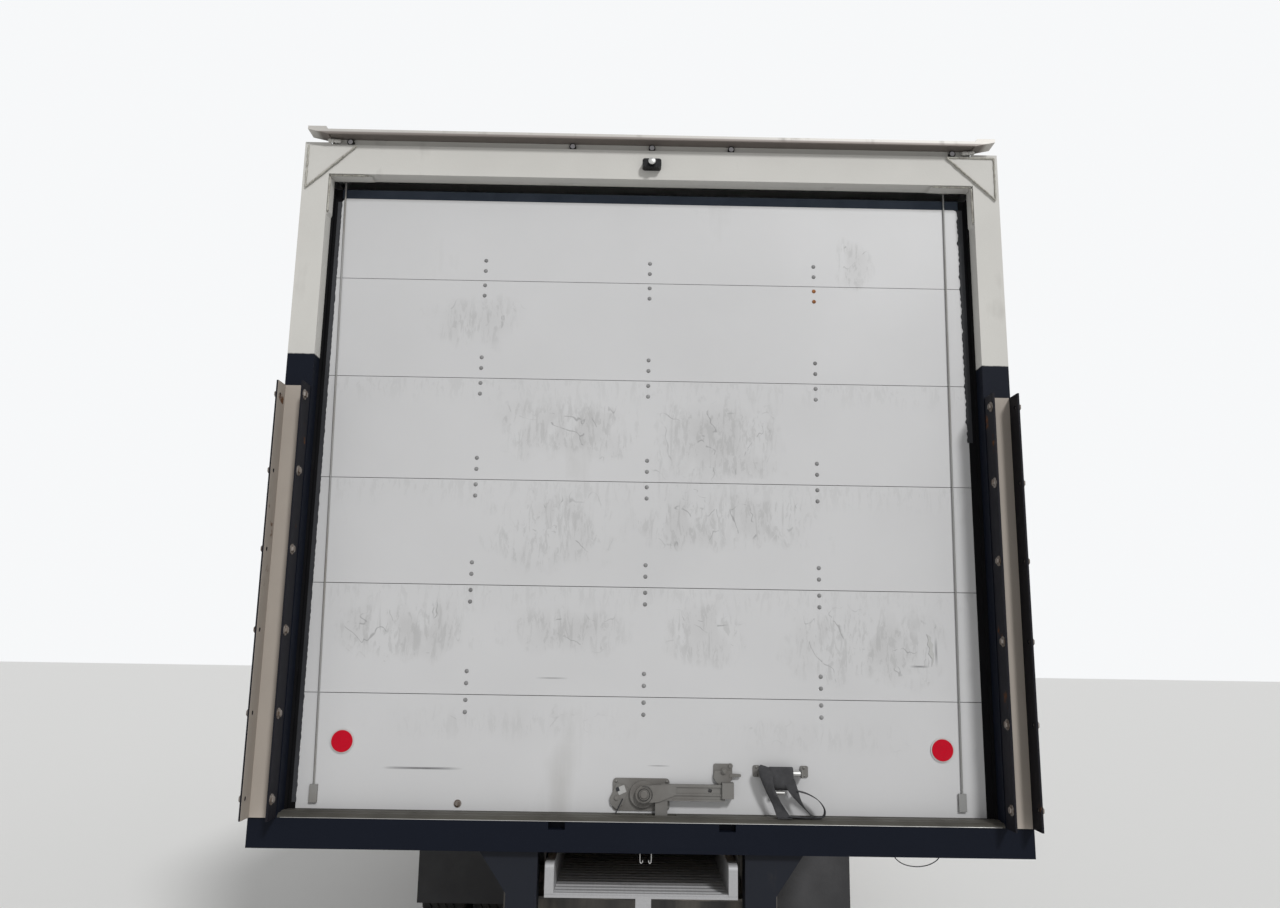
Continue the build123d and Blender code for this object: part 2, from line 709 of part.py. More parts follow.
def cab_pieces():
    """The cab shell, its glass, both doors with their glass, mirrors, dashboard and seats."""
    outer = cab_form(0)
    shell = outer - cab_form(cab_skin)
    skin = shell
    glass_layer = cab_form(glass_inset) - cab_form(glass_inset + glass_thick)
    side_span = (700, cab_half + 20)
    hinge_room = on_hinge_axis(hinge_radius + 2, -hinge_play, hinge_high + hinge_play)
    for sign in (-1, 1):
        shell -= on_side(slab_x(door_outline(door_gap), side_span) + hinge_room, sign)
        shell += on_side(hinge_lugs(), sign)
    screen_span = (cowl_y - 20, screen_top_y + 60)
    back_span = (cab_back_y - 80, cab_back_y + 20)
    shell -= slab_y(even(screen_outline), screen_span)
    shell -= slab_y(even(rear_window_outline), back_span)
    for y in (cowl_y + 240, cab_back_y - 240):
        foot = block((rail_out - 70, rail_out - 10), (y - 45, y + 45), (rail_high, cab_floor_z + 2))
        shell += foot + flip(foot)
    floor_top, roof_top_z = cab_floor_z + cab_skin, roof_z + 10
    wide, long = (-cab_half - 20, cab_half + 20), (cowl_y - 20, cab_back_y + 20)
    save("cab_floor", shell & block(wide, long, (rail_high - 10, floor_top)))
    save("cab_shell", shell & block(wide, long, (floor_top, roof_joint_z)))
    save("cab_roof", shell & block(wide, long, (roof_joint_z, roof_top_z)))
    screen = glass_layer & slab_y(even(inset_edge(screen_outline)), screen_span)
    back = glass_layer & slab_y(even(inset_edge(rear_window_outline)), back_span)
    save("cab_glass", screen, back)
    for side, sign in (("left", 1), ("right", -1)):
        door = skin & on_side(slab_x(door_outline(0), side_span), sign)
        bore = on_hinge_axis(hinge_pin + seat_gap, -1, hinge_high + 1)
        door -= on_side(slab_x(window_outline(0), side_span) + hinge_pockets(), sign)
        door += on_side(on_hinge_axis(hinge_radius, 0, hinge_high), sign)
        door -= on_side(bore, sign)
        door += on_side(mirror_arm() + door_handle(), sign)
        save(f"cab_door_{side}", door)
        pane = glass_layer & on_side(slab_x(window_outline(-seat_gap), side_span), sign)
        save(f"door_glass_{side}", pane)
    save("cab_dash", dashboard())
    save("cab_seats", *seats())
    save("steering_wheel", steering_wheel())


def inset_edge(corners):
    """A half outline drawn in by the glass clearance."""
    low, high = corners
    return [(low[0] - seat_gap, low[1] + seat_gap, low[2]), (high[0] - seat_gap, high[1] - seat_gap, high[2])]


def mirror_arm():
    """The left door's mirror: two arms, a post and a tall head with a rounded back."""
    y = cowl_y + 150
    head = slab_y([(1120, 1660, 36), (1300, 1660, 36), (1300, 2080, 50), (1120, 2080, 50)], (y - 60, y + 30))
    head &= slab_z([(1120, y + 24), (1120, y - 20, 40), (1210, y - 62, 90), (1300, y - 20, 40),
                    (1300, y + 24)], (1650, 2090))
    for z in (1300, 1480):
        head += rod_x(11, (belt_half - 26, 1180), y, z)
    return head + rod_z(11, 1180, y, (1289, 1700))


def door_handle():
    """The left door's pull handle on two feet."""
    x, y, z = belt_half, cab_back_y - 330, 1330
    return slab_z([(x - 8, y - 20), (x + 26, y + 4, 12), (x + 26, y + 136, 12), (x - 8, y + 160),
                   (x - 8, y + 130), (x + 12, y + 116), (x + 12, y + 24), (x - 8, y + 10)], (z, z + 26))


wheel_mid = Vector(470, cowl_y + 560, 1540)
wheel_lean = 30
wheel_rim_radius = 225
wheel_hub_drop = 50
wheel_hub_high = 60


def steering_wheel():
    """The steering wheel: a rim, four spokes and a hub on its column."""
    rim = Torus(wheel_rim_radius, 15)
    hub_part = Pos(0, 0, wheel_hub_high / 2 - wheel_hub_drop) * Cylinder(48, wheel_hub_high)
    for turn in (25, 155, 205, 335):
        spoke = Rot(0, 0, turn) * Pos(130, 0, -8) * Box(190, 26, 12)
        hub_part += spoke
    return Location(wheel_mid, (-wheel_lean, 0, 0)) * (rim + hub_part)


def dashboard():
    """The dashboard across the cab, with the steering column and its shroud."""
    y0, y1 = cowl_y + cab_skin, cowl_y + 430
    dash = slab_x([(y0 + 60, 1290), (y0 + 60, cowl_z - 30, 20), (y1 - 60, cowl_z - 20, 40),
                   (y1, 1420, 40), (y1 - 40, 1290)], (-970, 970))
    dash += block((-960, 960), (y0, y0 + 70), (1330, cowl_z - 60))
    lean = Vector(0, sin(wheel_lean * pi / 180), cos(wheel_lean * pi / 180))
    top = wheel_mid - lean * (wheel_hub_drop + seat_gap)
    foot = wheel_mid - lean * 330
    column = sweep(Plane(origin=foot, z_dir=lean) * Circle(42), path=Line(foot, top))
    return dash + column


def seats():
    """A driver's seat and a two-place bench: bases, cushions and backs."""
    places = [(200, 740), (-880, 60)]
    pieces = []
    for x in places:
        base = block((x[0] + 40, x[1] - 40), (cab_back_y - 640, cab_back_y - 260),
                     (cab_floor_z + cab_skin, 1220))
        cushion = slab_x([(cab_back_y - 680, 1220, 40), (cab_back_y - 680, 1345, 50),
                          (cab_back_y - 210, 1325), (cab_back_y - 210, 1220)], x)
        back = slab_x([(cab_back_y - 205, 1240, 30), (cab_back_y - 225, 1330), (cab_back_y - 190, 1960, 50),
                       (cab_back_y - 75, 1960, 50), (cab_back_y - 90, 1240, 30)], x)
        pieces.append(base + cushion + back)
    return pieces


# Hood: its section over the engine and its fenders
hood_back_y = cowl_y - hood_gap
nose_y = front_y + 36
fender_front_y = front_y + 131
fender_slope = 430
arch_lip = 24
nose_corner = 60
grille_half = 330
grille_low = 800
grille_high = 1160
lamp_in, lamp_out = 640, 930
lamp_low, lamp_high = 800, 985


def hood_form(t):
    """The hood's full form: a nose over the engine between two fenders; t draws it in."""
    down = 300 if t else 0
    rear = hood_back_y + 60 if t else hood_back_y
    wide, high = (-fender_half, fender_half), (300, 1700)
    nose = slab_x([(nose_y + t, 720 - down), (nose_y + t, 1190, 60), (nose_y + 100 + t, 1335 - t, 110),
                   (rear, 1568 - t), (rear, 720 - down)], wide)
    nose &= slab_z(even([(560 - t, nose_y + t, nose_corner - t), (770 - t, rear + 1)]), high)
    nose &= slab_y(even([(770 - t, 300), (770 - t, 1280), (640 - t, 1500 - t, 160), (300, 1575 - t, 600)]),
                   (nose_y - 5, rear + 1))
    fender = slab_x([(fender_front_y + t, 640 - down), (fender_front_y + t, 1020 - t, 160),
                     (fender_front_y + 420, 1150 - t, 300), (rear, 1170 - t), (rear, 640 - down)], wide)
    fender &= slab_z(even([(500, fender_front_y + t), (fender_half - t, fender_front_y + t, 260),
                           (fender_half - t, rear + 1)]), high)
    fender &= slab_y(even([(fender_half - t, 300), (fender_half - t, 1070 - t, 110),
                           (fender_half - fender_slope, 1230 - t, 200)]), (fender_front_y - 5, rear + 1))
    return nose + fender


def hood_shell():
    """The one-piece hood and fenders: a shell with lipped wheel arches, liners and hinge arms."""
    outer = hood_form(0)
    shell = outer - hood_form(hood_skin)
    for side_x in (-1, 1):
        shell += on_side(arch_ring(10, (600, fender_half - 2)), side_x) & outer
        shell += on_side(arch_lips(), side_x)
        shell -= on_side(rod_x(arch_radius, (480, fender_half + 60), front_axle_y, tyre_radius), side_x)
    shell -= block((-540, 540), (fender_front_y - 10, hood_back_y + 10), (600, 720))
    shell -= block((-grille_half, grille_half), (nose_y - 40, nose_y + 60), (grille_low, grille_high))
    for opening in pair(block((lamp_in, lamp_out), (fender_front_y - 60, fender_front_y + 90),
                              (lamp_low, lamp_high))):
        shell -= opening
    for arm in pair(hood_arm()):
        shell += arm
    save("hood_shell", shell)


def arch_ring(thick, x):
    """A ring round the left front wheel's arch: its liner, or the lip on the fender's face."""
    ring = rod_x(arch_radius + thick, x, front_axle_y, tyre_radius)
    return ring - rod_x(arch_radius, x, front_axle_y, tyre_radius)


def arch_lips():
    """The raised lip round the left wheel arch, cut off at the fender's lower edge."""
    x = (fender_half - hood_skin + 2, fender_half + 10)
    reach = arch_radius + arch_lip + 1
    return arch_ring(arch_lip, x) & block((0, x[1]), (front_axle_y - reach, hood_back_y), (640, 1100))


def hood_arm():
    """The left hinge arm under the nose, bored for the ear's pin."""
    y = front_y + hood_hinge_back
    arm = slab_x([(nose_y + 6, 735), (y - 24, hood_hinge_z - 24, 23), (y + 24, hood_hinge_z - 24, 23),
                  (y + 24, hood_hinge_z + 24, 23), (nose_y + 40, 790), (nose_y + 6, 790)], (362, 376))
    return arm - rod_x(11 + seat_gap, (350, 400), y, hood_hinge_z)


def grille():
    """The radiator grille: a frame that fills the hood's opening, with level bars."""
    x, z = grille_half - seat_gap, (grille_low + seat_gap, grille_high - seat_gap)
    y = (nose_y - 4, nose_y + 34)
    panel = block((-x, x), y, z) - block((-x + 22, x - 22), (y[0] - 1, y[1] + 1), (z[0] + 22, z[1] - 22))
    bars = 6
    pitch = (z[1] - z[0] - 44) / (bars + 1)
    for i in range(bars):
        middle = z[0] + 22 + pitch * (i + 1)
        panel += block((-x + 10, x - 10), (y[0] + 4, y[1] - 4), (middle - 9, middle + 9))
    return panel


def headlamps():
    """Two lamp units in the fenders' faces."""
    gap = seat_gap
    lamp = block((lamp_in + gap, lamp_out - gap), (fender_front_y + 4, fender_front_y + 84),
                 (lamp_low + gap, lamp_high - gap))
    curve = slab_z(even([(500, fender_front_y + 2), (fender_half - 2, fender_front_y + 2, 258),
                         (fender_half - 2, fender_front_y + 400)]), (700, 1100))
    return lamp & curve


def hood():
    """The hood and what it carries."""
    hood_shell()
    save("grille", grille())
    save("headlamps", *pair(headlamps()))


# Van body

def cargo_floor():
    """Deck boards on cross sills on two long sills."""
    y = (body_front_y + wall_thick, deck_back_y)
    x = body_half - wall_thick
    corner = nose_radius - wall_thick
    floor = slab_z([(-x, y[0], corner), (x, y[0], corner), (x, y[1]), (-x, y[1])],
                   (deck_z - deck_thick, deck_z))
    count = int((y[1] - y[0] - cross_sill_thick - 2 * nose_radius) // cross_sill_pitch) + 1
    for i in range(count):
        start = y[1] - 100 - i * cross_sill_pitch
        sill = block((-x, x), (start, start + cross_sill_thick), (cross_sill_low, deck_z - deck_thick + 1))
        floor += sill
    for long_sill in pair(block((rail_out - rail_flange, rail_out), (y[0] + 20, rear_face_y - 110),
                                (rail_high, cross_sill_low + 1))):
        floor += long_sill
    return floor


def cargo_wall():
    """The left wall: one flat panel between a skirt rail and a roof rail."""
    x, y = (body_half - wall_thick, body_half), (body_front_y + nose_return, frame_back_y)
    panel = block((x[0], body_half - 4), y, wall_z)
    panel += block(x, y, (wall_z[0], deck_z + 20))
    panel += block(x, y, (roof_top - 90, wall_z[1]))
    return panel


def cargo_nose():
    """The front wall with its rounded corners."""
    y = body_front_y
    edge = [(-body_half, y, nose_radius), (body_half, y, nose_radius), (body_half, y + nose_return),
            (-body_half, y + nose_return)]
    t = wall_thick
    inner = [(-body_half + t, y + t, nose_radius - t), (body_half - t, y + t, nose_radius - t),
             (body_half - t, y + nose_return + 1), (-body_half + t, y + nose_return + 1)]
    return slab_z(edge, wall_z) - slab_z(inner, (wall_z[0] - 1, wall_z[1] + 1))


def cargo_roof():
    """The roof panel, its front edge and corners rounded like the nose."""
    y = body_front_y
    edge = [(-body_half, y, nose_radius), (body_half, y, nose_radius), (body_half, frame_back_y),
            (-body_half, frame_back_y)]
    return slab_z(edge, (roof_top - roof_thick - 4, roof_top - 4))


def rear_frame():
    """The welded rear frame: hollow posts and header, a notched sill, corner gussets and plates."""
    y = (frame_back_y, rear_face_y)
    inside_x = (post_in + frame_wall, body_half - frame_wall)
    inside_y = (y[0] + frame_wall, y[1] - frame_wall)
    post = block((post_in, body_half), y, (sill_low, post_high))
    post -= block(inside_x, inside_y, (sill_low - 1, post_high - frame_wall))
    frame = post + flip(post)
    header = block((-post_in, post_in), y, (header_low, header_high))
    header -= block((-post_in, post_in), inside_y, (header_low + frame_wall, header_high - frame_wall))
    header += block((-post_in, post_in), (y[0], y[1] - ledge_back), (header_high - frame_wall, ledge_high))
    sill = block((-post_in, post_in), y, (sill_low, sill_high))
    sill -= block((-post_in, post_in), inside_y, (sill_low + frame_wall, sill_high - notch_deep - 4))
    for x in (-notch_x, notch_x):
        sill -= block((x - notch_wide / 2, x + notch_wide / 2), (y[1] - 30, y[1] + 1),
                      (sill_high - notch_deep, sill_high + 1))
    frame += header + sill
    for plate in pair(corner_plates()):
        frame += plate
    return frame


def corner_plates():
    """The left top corner's face gusset, and the plates under the header and inside the post."""
    out, top = body_half - gusset_edge, header_high - gusset_edge / 2
    plates = slab_y([(gusset_in, top), (out, top), (out, gusset_foot)],
                    (rear_face_y - 1, rear_face_y + gusset_thick))
    foot, inside = header_low - frame_wall, post_in - frame_wall
    plates += slab_y([(corner_plate_in, foot), (corner_plate_in + 12, header_low + 1),
                      (post_in + 1, header_low + 1), (post_in + 1, corner_plate_foot),
                      (inside, corner_plate_foot + 16), (inside, foot)],
                     (frame_back_y + 6, rear_face_y - 12))
    return plates


def sill_plate():
    """The threshold strip on the sill, bevelled at its rear edge, with the slot for the latch's hook."""
    profile = [(deck_back_y, sill_high), (rear_face_y, sill_high), (rear_face_y, deck_z - 8),
               (rear_face_y - 12, deck_z - 2), (rear_face_y - 36, deck_z - 2), (rear_face_y - 38, deck_z),
               (deck_back_y, deck_z)]
    slot = block(latch_slot, (door_face_y + 4, door_face_y + 32), (sill_high - 1, deck_z + 1))
    return slab_x(profile, (-post_in, post_in)) - slot


def drip_rail():
    """The rain rail over the header: a plate with a drop lip and a raised wedge cap over each post."""
    y = (frame_back_y, rear_face_y + drip_rail_reach)
    low = ledge_high - drip_lip
    rail = slab_x([(y[0], ledge_high), (y[1] - drip_lip, ledge_high), (y[1] - drip_lip, low), (y[1] - 1, low),
                   (y[1], low + 2), (y[1], drip_rail_high), (y[0], drip_rail_high)],
                  (-corner_cap_in, corner_cap_in))
    cap = slab_y([(corner_cap_in - 1, low), (corner_cap_in - 1, corner_cap_high - corner_cap_thick),
                  (corner_cap_in + 6, corner_cap_high), (corner_cap_out, corner_cap_high),
                  (corner_cap_out, corner_cap_high - corner_cap_thick)], (y[1] - 62, y[1]))
    for wedge in pair(cap):
        rail += wedge
    return rail


def lift_rail():
    """The left lift rail: a channel open to the rear on the post, drilled in both flanges."""
    x = (body_half - lift_rail_wide, body_half)
    y = (rear_face_y, rear_y)
    z = (lift_rail_low, lift_rail_top)
    t = lift_rail_wall
    rail = block(x, y, z) - block((x[0] + t, x[1] - t), (y[0] + t, y[1] + 1), (z[0] - 1, z[1] + 1))
    for i in range(rail_bolt_count):
        hole_z = rail_bolt_first + i * rail_bolt_pitch
        rail -= rod_x(rail_bolt_hole, (x[0] - 1, x[1] + 1), y[0] + rail_bolt_back, hole_z)
    return rail


def door_panels():
    """The roll-up door's six flat panels, the top one with rounded corners."""
    y = (door_face_y - door_thick, door_face_y)
    edges = [0, door_bottom_panel]
    for _ in range(door_panels_between):
        edges.append(edges[-1] + door_panel_pitch)
    half, gap = door_wide / 2, panel_gap / 2
    panels = [block((-half, half), y, (deck_z + low + gap, deck_z + high - gap))
              for low, high in zip(edges[:-1], edges[1:])]
    low, high = deck_z + edges[-1] + gap, door_top() - gap
    panels.append(slab_y(even([(half, low), (half, high, door_corner)]), y))
    return panels


def door_top():
    """The height of the door's top edge."""
    return deck_z + door_bottom_panel + door_panels_between * door_panel_pitch + door_top_panel


def door_seals():
    """The head seal above the door and a seal down each side of it."""
    half = door_wide / 2
    top = door_top()
    head = block((-half, half), (door_face_y - 16, door_face_y - 2), (top, top + head_seal_high))
    side = block((half + 0.5, post_in), (door_face_y - door_thick - 4, door_face_y + 2), (deck_z, top + 30))
    lip = block((post_in - 8, post_in), (door_face_y, frame_back_y + 2), (deck_z, top + 30))
    return [head] + pair(side + lip)


cable_radius = 3


def door_cables():
    """The two lift cables in front of the door, each from its bottom clip to the header."""
    pieces = []
    y = door_face_y + 4.5
    for low_x, high_x in ((1044, 1088), (-1022, -1046)):
        start, end = (low_x, y, deck_z + 60), (high_x, y, header_low + 6)
        cable = sweep(Plane(origin=start, z_dir=Vector(*end) - Vector(*start)) * Circle(cable_radius),
                      path=Line(start, end))
        clip = block((low_x - 12.5, low_x + 12.5), (door_face_y, door_face_y + 9), (deck_z + 20, deck_z + 75))
        guide = block((high_x - 14, high_x + 14), (door_face_y + 1, frame_back_y),
                      (header_low, header_low + 30))
        pieces.append(cable + clip + guide)
    return pieces


# Door hardware, in (X, height over the deck), on the door's face
padlock_hole = 6.5
padlock_place = (-214, 76)
latch_plate = [(94, 9, 12), (94, 108, 12), (-87, 108, 12), (-87, 9, 12)]
striker_plate = [(80, 94, 6), (43, 76, 6), (62, 28, 8), (80, 12, 8), (101, 29, 10), (103, 48, 10)]
latch_pivot = (-5, 62)
latch_arm = [(-8, 88), (-107, 94), (-107, 62), (-52, 40, 20), (-8, 36)]
latch_bar = [(-60, 44), (-60, 94), (-262, 94), (-262, 44)]
latch_ribs = ((86, 94), (61, 66), (44, 49))
latch_leg = (-80, -41)
latch_slot = (-108, -19)
keeper_plate = [(-227, 104, 6), (-227, 156, 6), (-287, 156, 6), (-287, 104, 6)]
keeper_pivot = (-257, 121)
clasp_span = (-289, -252)
bracket_ends = ((-376, -353), (-530, -504))
bracket_bar = 131


def over_deck(corners):
    """An outline given over the deck, at its height over the ground."""
    return [(c[0], deck_z + c[1]) + tuple(c[2:]) for c in corners]


def latch():
    """The latch: a base plate with a striker, a pivoted arm with its ribbed bar, and the hook's leg."""
    y = door_face_y
    pivot_z = deck_z + latch_pivot[1]
    body = slab_y(over_deck(latch_plate), (y, y + 4))
    body += slab_y(over_deck(striker_plate), (y + 4, y + 9))
    body += rod_y(7, 81, (y + 4, y + 14), deck_z + 49)
    body += rod_y(41, latch_pivot[0] + 4, (y + 4, y + 14), pivot_z - 2)
    body += slab_y(over_deck(latch_bar), (y + 16, y + 26))
    rib_x = (latch_bar[2][0], latch_arm[1][0] + 10)
    for low, high in latch_ribs:
        body += block(rib_x, (y + 26, y + 30), (deck_z + low, deck_z + high))
    body += slab_y(over_deck(latch_arm), (y + 16, y + 30))
    body += rod_y(27, latch_pivot[0], (y + 4, y + 31), pivot_z)
    body += rod_y(16, latch_pivot[0], (y + 31, y + 36), pivot_z)
    body += block(latch_leg, (y + 8, y + 24), (deck_z - 12, deck_z + 50))
    return body - rod_y(padlock_hole, padlock_place[0], (y + 15, y + 27), deck_z + padlock_place[1])


def keeper():
    """The keeper: a bolted plate, a turned cam with its nose, and the clasp round the bar's end."""
    y = door_face_y
    x, z = keeper_pivot[0], deck_z + keeper_pivot[1]
    body = slab_y(over_deck(keeper_plate), (y, y + 4))
    body += rod_y(30, x, (y + 4, y + 12), z) & block((x - 31, x + 31), (y + 4, y + 12), (z - 31, z + 14))
    body += rod_y(8, x - 3, (y + 4, y + 18), z + 14)
    nose = [(x - 20, z - 6), (x - 57, z - 3, 2), (x - 57, z + 4, 2), (x - 20, z + 6)]
    body += slab_y(nose, (y + 4, y + 14))
    body += block(clasp_span, (y + 8, y + 38), (deck_z + 53, z - 20))
    clasp_room = (clasp_span[0] + 6, clasp_span[1] + 1)
    return body - block(clasp_room, (y + 13, y + 33), (deck_z + 40, z - 25))


def strap_bracket():
    """The pull strap's bracket: two bolted feet and a round bar."""
    y, z = door_face_y, deck_z + bracket_bar
    bracket = rod_x(8, (bracket_ends[1][1] - 4, bracket_ends[0][0] + 4), y + 24, z)
    for low, high in bracket_ends:
        foot = [(low, z - 14, 5), (high, z - 14, 5), (high, z + 22, 5), (low, z + 22, 5)]
        bracket += slab_y(foot, (y, y + 4))
        lug = high - 6 if high < bracket_ends[0][0] else low
        bracket += block((lug, lug + 6), (y, y + 34), (z - 12, z + 12))
    return bracket


def door_hardware():
    """The latch with its padlock hole, its keeper and the pull strap's bracket."""
    return [latch(), keeper(), strap_bracket()]


# Places of the rear marker lamps, the reflectors and the lamps on the cab's roof
marker_lamp_places = (0, 280, -280, 1063, -1063)
marker_lamp_radius = 12
reflector_x = 965
reflector_radius = 38
roof_lamp_places = (0, 170, -170, 640, -640)
roof_lamp_y = screen_top_y + 190


def lamps():
    """Marker lamps, reflectors, the rear camera, tail lamps on the guard and the cab's roof lamps."""
    pieces = []
    ledge_y = rear_face_y - ledge_back
    for x in marker_lamp_places:
        pieces.append(round_lamp(marker_lamp_radius, 3, x, ledge_y, 12, (header_high + ledge_high) / 2))
        pieces.append(rod_y(20, x, (body_front_y - 14, body_front_y), roof_top - 80))
    for x in (reflector_x, -reflector_x):
        pieces.append(round_lamp(reflector_radius, 4, x, door_face_y, 6, deck_z + 208))
    z = (deck_z + 2160, deck_z + 2192)
    camera = slab_y([(-33, z[0], 9), (33, z[0], 9), (33, z[1], 9), (-33, z[1], 9)],
                    (rear_face_y, rear_face_y + 30))
    pieces.append(camera + rod_y(11, 0, (rear_face_y + 30, rear_face_y + 38), sum(z) / 2))
    for box in pair(block((560, 800), (guard_y[1], guard_y[1] + 45), (guard_z[0] + 5, guard_z[1] - 5))):
        pieces.append(box)
    cab = cab_form(0)
    for x in roof_lamp_places:
        low, high = roof_z - 40, roof_z + 34
        lamp = slab_x([(roof_lamp_y - 62, low), (roof_lamp_y - 62, roof_z + 4), (roof_lamp_y - 10, high, 26),
                       (roof_lamp_y + 50, high, 10), (roof_lamp_y + 62, low)], (x - 42, x + 42))
        pieces.append(lamp - cab)
    return pieces


def round_lamp(radius, rim, x, y, thick, z):
    """A round lamp or reflector on a face: a rim and a lens that stands proud of it."""
    return rod_y(radius, x, (y, y + thick - 2), z) + rod_y(radius - rim, x, (y, y + thick), z)


# Rear underride guard
guard_y = (rear_face_y - 106, rear_face_y - 26)
guard_z = (470, 570)
guard_half = 1050
hanger_in, hanger_out = 322, 418
plate_hole_x = 89
plate_hole_pitch = 178
plate_hole_radius = 4


def underride_guard():
    """A square bar under the rear frame, on two hangers with gussets."""
    guard = block((-guard_half, guard_half), guard_y, guard_z)
    guard -= block((-guard_half - 1, guard_half + 1), (guard_y[0] + 6, guard_y[1] - 6),
                   (guard_z[0] + 6, guard_z[1] - 6))
    for x in (plate_hole_x, plate_hole_x - plate_hole_pitch):
        guard -= rod_y(plate_hole_radius, x, (guard_y[1] - 10, guard_y[1] + 1), sum(guard_z) / 2)
    hanger = block((hanger_in, hanger_out), guard_y, (guard_z[1] - 1, sill_low - 6))
    hanger -= block((hanger_in + 8, hanger_out - 8), (guard_y[0] - 1, guard_y[1] - 8), (guard_z[1], sill_low))
    wide = hanger_out + 84
    hanger += block((hanger_in, wide), (frame_back_y - 44, rear_face_y - 26), (sill_low - 6, sill_low))
    hanger += slab_y([(hanger_out - 1, sill_low - 6), (wide, sill_low - 6), (hanger_out - 1, sill_low - 128)],
                     (rear_face_y - 34, rear_face_y - 26))
    for arm in pair(hanger):
        guard += arm
    return guard


def ramp_guides():
    """Two angle guides under the cross sills, on which the walk ramp slides."""
    y = (rear_face_y - ramp_length - 60, frame_back_y - 60)
    low = ramp_tread_z - seat_gap
    guide = block((ramp_half + running_gap, ramp_half + running_gap + 6), y, (low - 6, cross_sill_low))
    guide += block((ramp_half - 34, ramp_half + running_gap + 6), y, (low - 6, low))
    return pair(guide)


def walk_ramp():
    """The stowed walk ramp: side rails with rounded ends, a cross-ribbed tread and an end lip with a tab."""
    y = (rear_face_y - ramp_length, rear_face_y - 6)
    z = (ramp_tread_z, ramp_high)
    top = z[0] + 8
    crest = top + ramp_rib_high
    tread = [(y[1], z[0]), (y[0], z[0]), (y[0], top)]
    for i in range(int((y[1] - y[0]) // ramp_rib_pitch)):
        rib = y[0] + ramp_rib_pitch * (i + 0.5)
        tread += [(rib - 7, top), (rib - 4, crest), (rib + 4, crest), (rib + 7, top)]
    ramp = slab_x(tread + [(y[1], top)], (-ramp_half, ramp_half))
    side = slab_x([(y[0], z[0]), (y[1], z[0], 12), (y[1], z[1], 16), (y[0], z[1])],
                  (ramp_half - ramp_rail_wide, ramp_half))
    ramp += side + flip(side)
    ramp += block((-ramp_half + 1, ramp_half - 1), (y[1] - 14, y[1] - 2), (z[0] + 1, z[0] + 14))
    return ramp + block((-31, 17), (y[1] - 6, y[1]), (z[0] - 36, z[0] + 1))


def mud_flaps():
    """Two flaps behind the rear wheels, each under its bar."""
    y = rear_axle_y + 613
    bar = block((rail_out, 1190), (y, y + 40), (rail_high - 50, rail_high - 10))
    flap = block((690, 1180), (y + 10, y + 20), (230, rail_high - 49))
    return pair(bar + flap)


def van_body():
    """The van body, its rear frame and what they carry."""
    save("cargo_floor", cargo_floor())
    save("cargo_walls", *pair(cargo_wall()))
    save("cargo_nose", cargo_nose())
    save("cargo_roof", cargo_roof())
    save("rear_frame", rear_frame())
    save("sill_plate", sill_plate())
    save("drip_rail", drip_rail())
    save("lift_rails", *pair(lift_rail()))
    save("door_panels", *door_panels())
    save("door_seals", *door_seals())
    save("door_cables", *door_cables())
    save("door_hardware", *door_hardware())
    save("lamps", *lamps())
    save("underride_guard", underride_guard())
    save("ramp_guides", *ramp_guides())
    save("walk_ramp", walk_ramp())
    save("mud_flaps", *mud_flaps())


os.makedirs("parts", exist_ok=True)
chassis()
wheels()
steering()
cab_pieces()
hood()
van_body()
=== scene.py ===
from math import cos, pi, radians, sin

import bmesh
import bpy
from mathutils import Matrix, Vector, noise


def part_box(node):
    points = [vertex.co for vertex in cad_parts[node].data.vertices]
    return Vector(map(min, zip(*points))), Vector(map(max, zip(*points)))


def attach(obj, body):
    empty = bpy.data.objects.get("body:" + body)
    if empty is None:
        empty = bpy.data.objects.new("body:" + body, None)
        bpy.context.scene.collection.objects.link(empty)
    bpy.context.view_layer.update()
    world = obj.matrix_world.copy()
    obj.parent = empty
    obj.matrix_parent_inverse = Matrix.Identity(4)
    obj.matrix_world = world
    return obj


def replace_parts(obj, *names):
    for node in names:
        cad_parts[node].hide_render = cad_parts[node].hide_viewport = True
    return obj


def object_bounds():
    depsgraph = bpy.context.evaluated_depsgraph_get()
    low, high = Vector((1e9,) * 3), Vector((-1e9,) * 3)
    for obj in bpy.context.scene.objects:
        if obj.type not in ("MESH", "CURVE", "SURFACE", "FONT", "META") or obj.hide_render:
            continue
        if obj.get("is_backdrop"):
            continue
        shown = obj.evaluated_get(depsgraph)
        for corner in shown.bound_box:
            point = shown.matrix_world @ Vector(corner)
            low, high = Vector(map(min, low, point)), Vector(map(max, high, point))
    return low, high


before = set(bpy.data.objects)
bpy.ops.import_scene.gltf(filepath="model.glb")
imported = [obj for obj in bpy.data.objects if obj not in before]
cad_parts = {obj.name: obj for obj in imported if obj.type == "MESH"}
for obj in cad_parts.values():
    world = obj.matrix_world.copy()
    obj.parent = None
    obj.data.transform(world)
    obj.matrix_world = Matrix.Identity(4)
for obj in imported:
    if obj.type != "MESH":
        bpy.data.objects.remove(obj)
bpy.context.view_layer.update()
scene = bpy.context.scene

# Camera. It stands some three metres behind the truck at eye height and looks a little up at the
# rear face. Its place, angles and lens were fitted to the edges of the rear frame and the door.
rear_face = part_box("rear_frame")[1].y
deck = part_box("cargo_floor")[1].z
camera_place = Vector((0.0486, rear_face + 3.165, deck + 0.5524))
look_up, look_aside, lean = 0.1857, 0.0074, 0.0162
focal_px, image_px, film = 971.5, 1280, 36.0

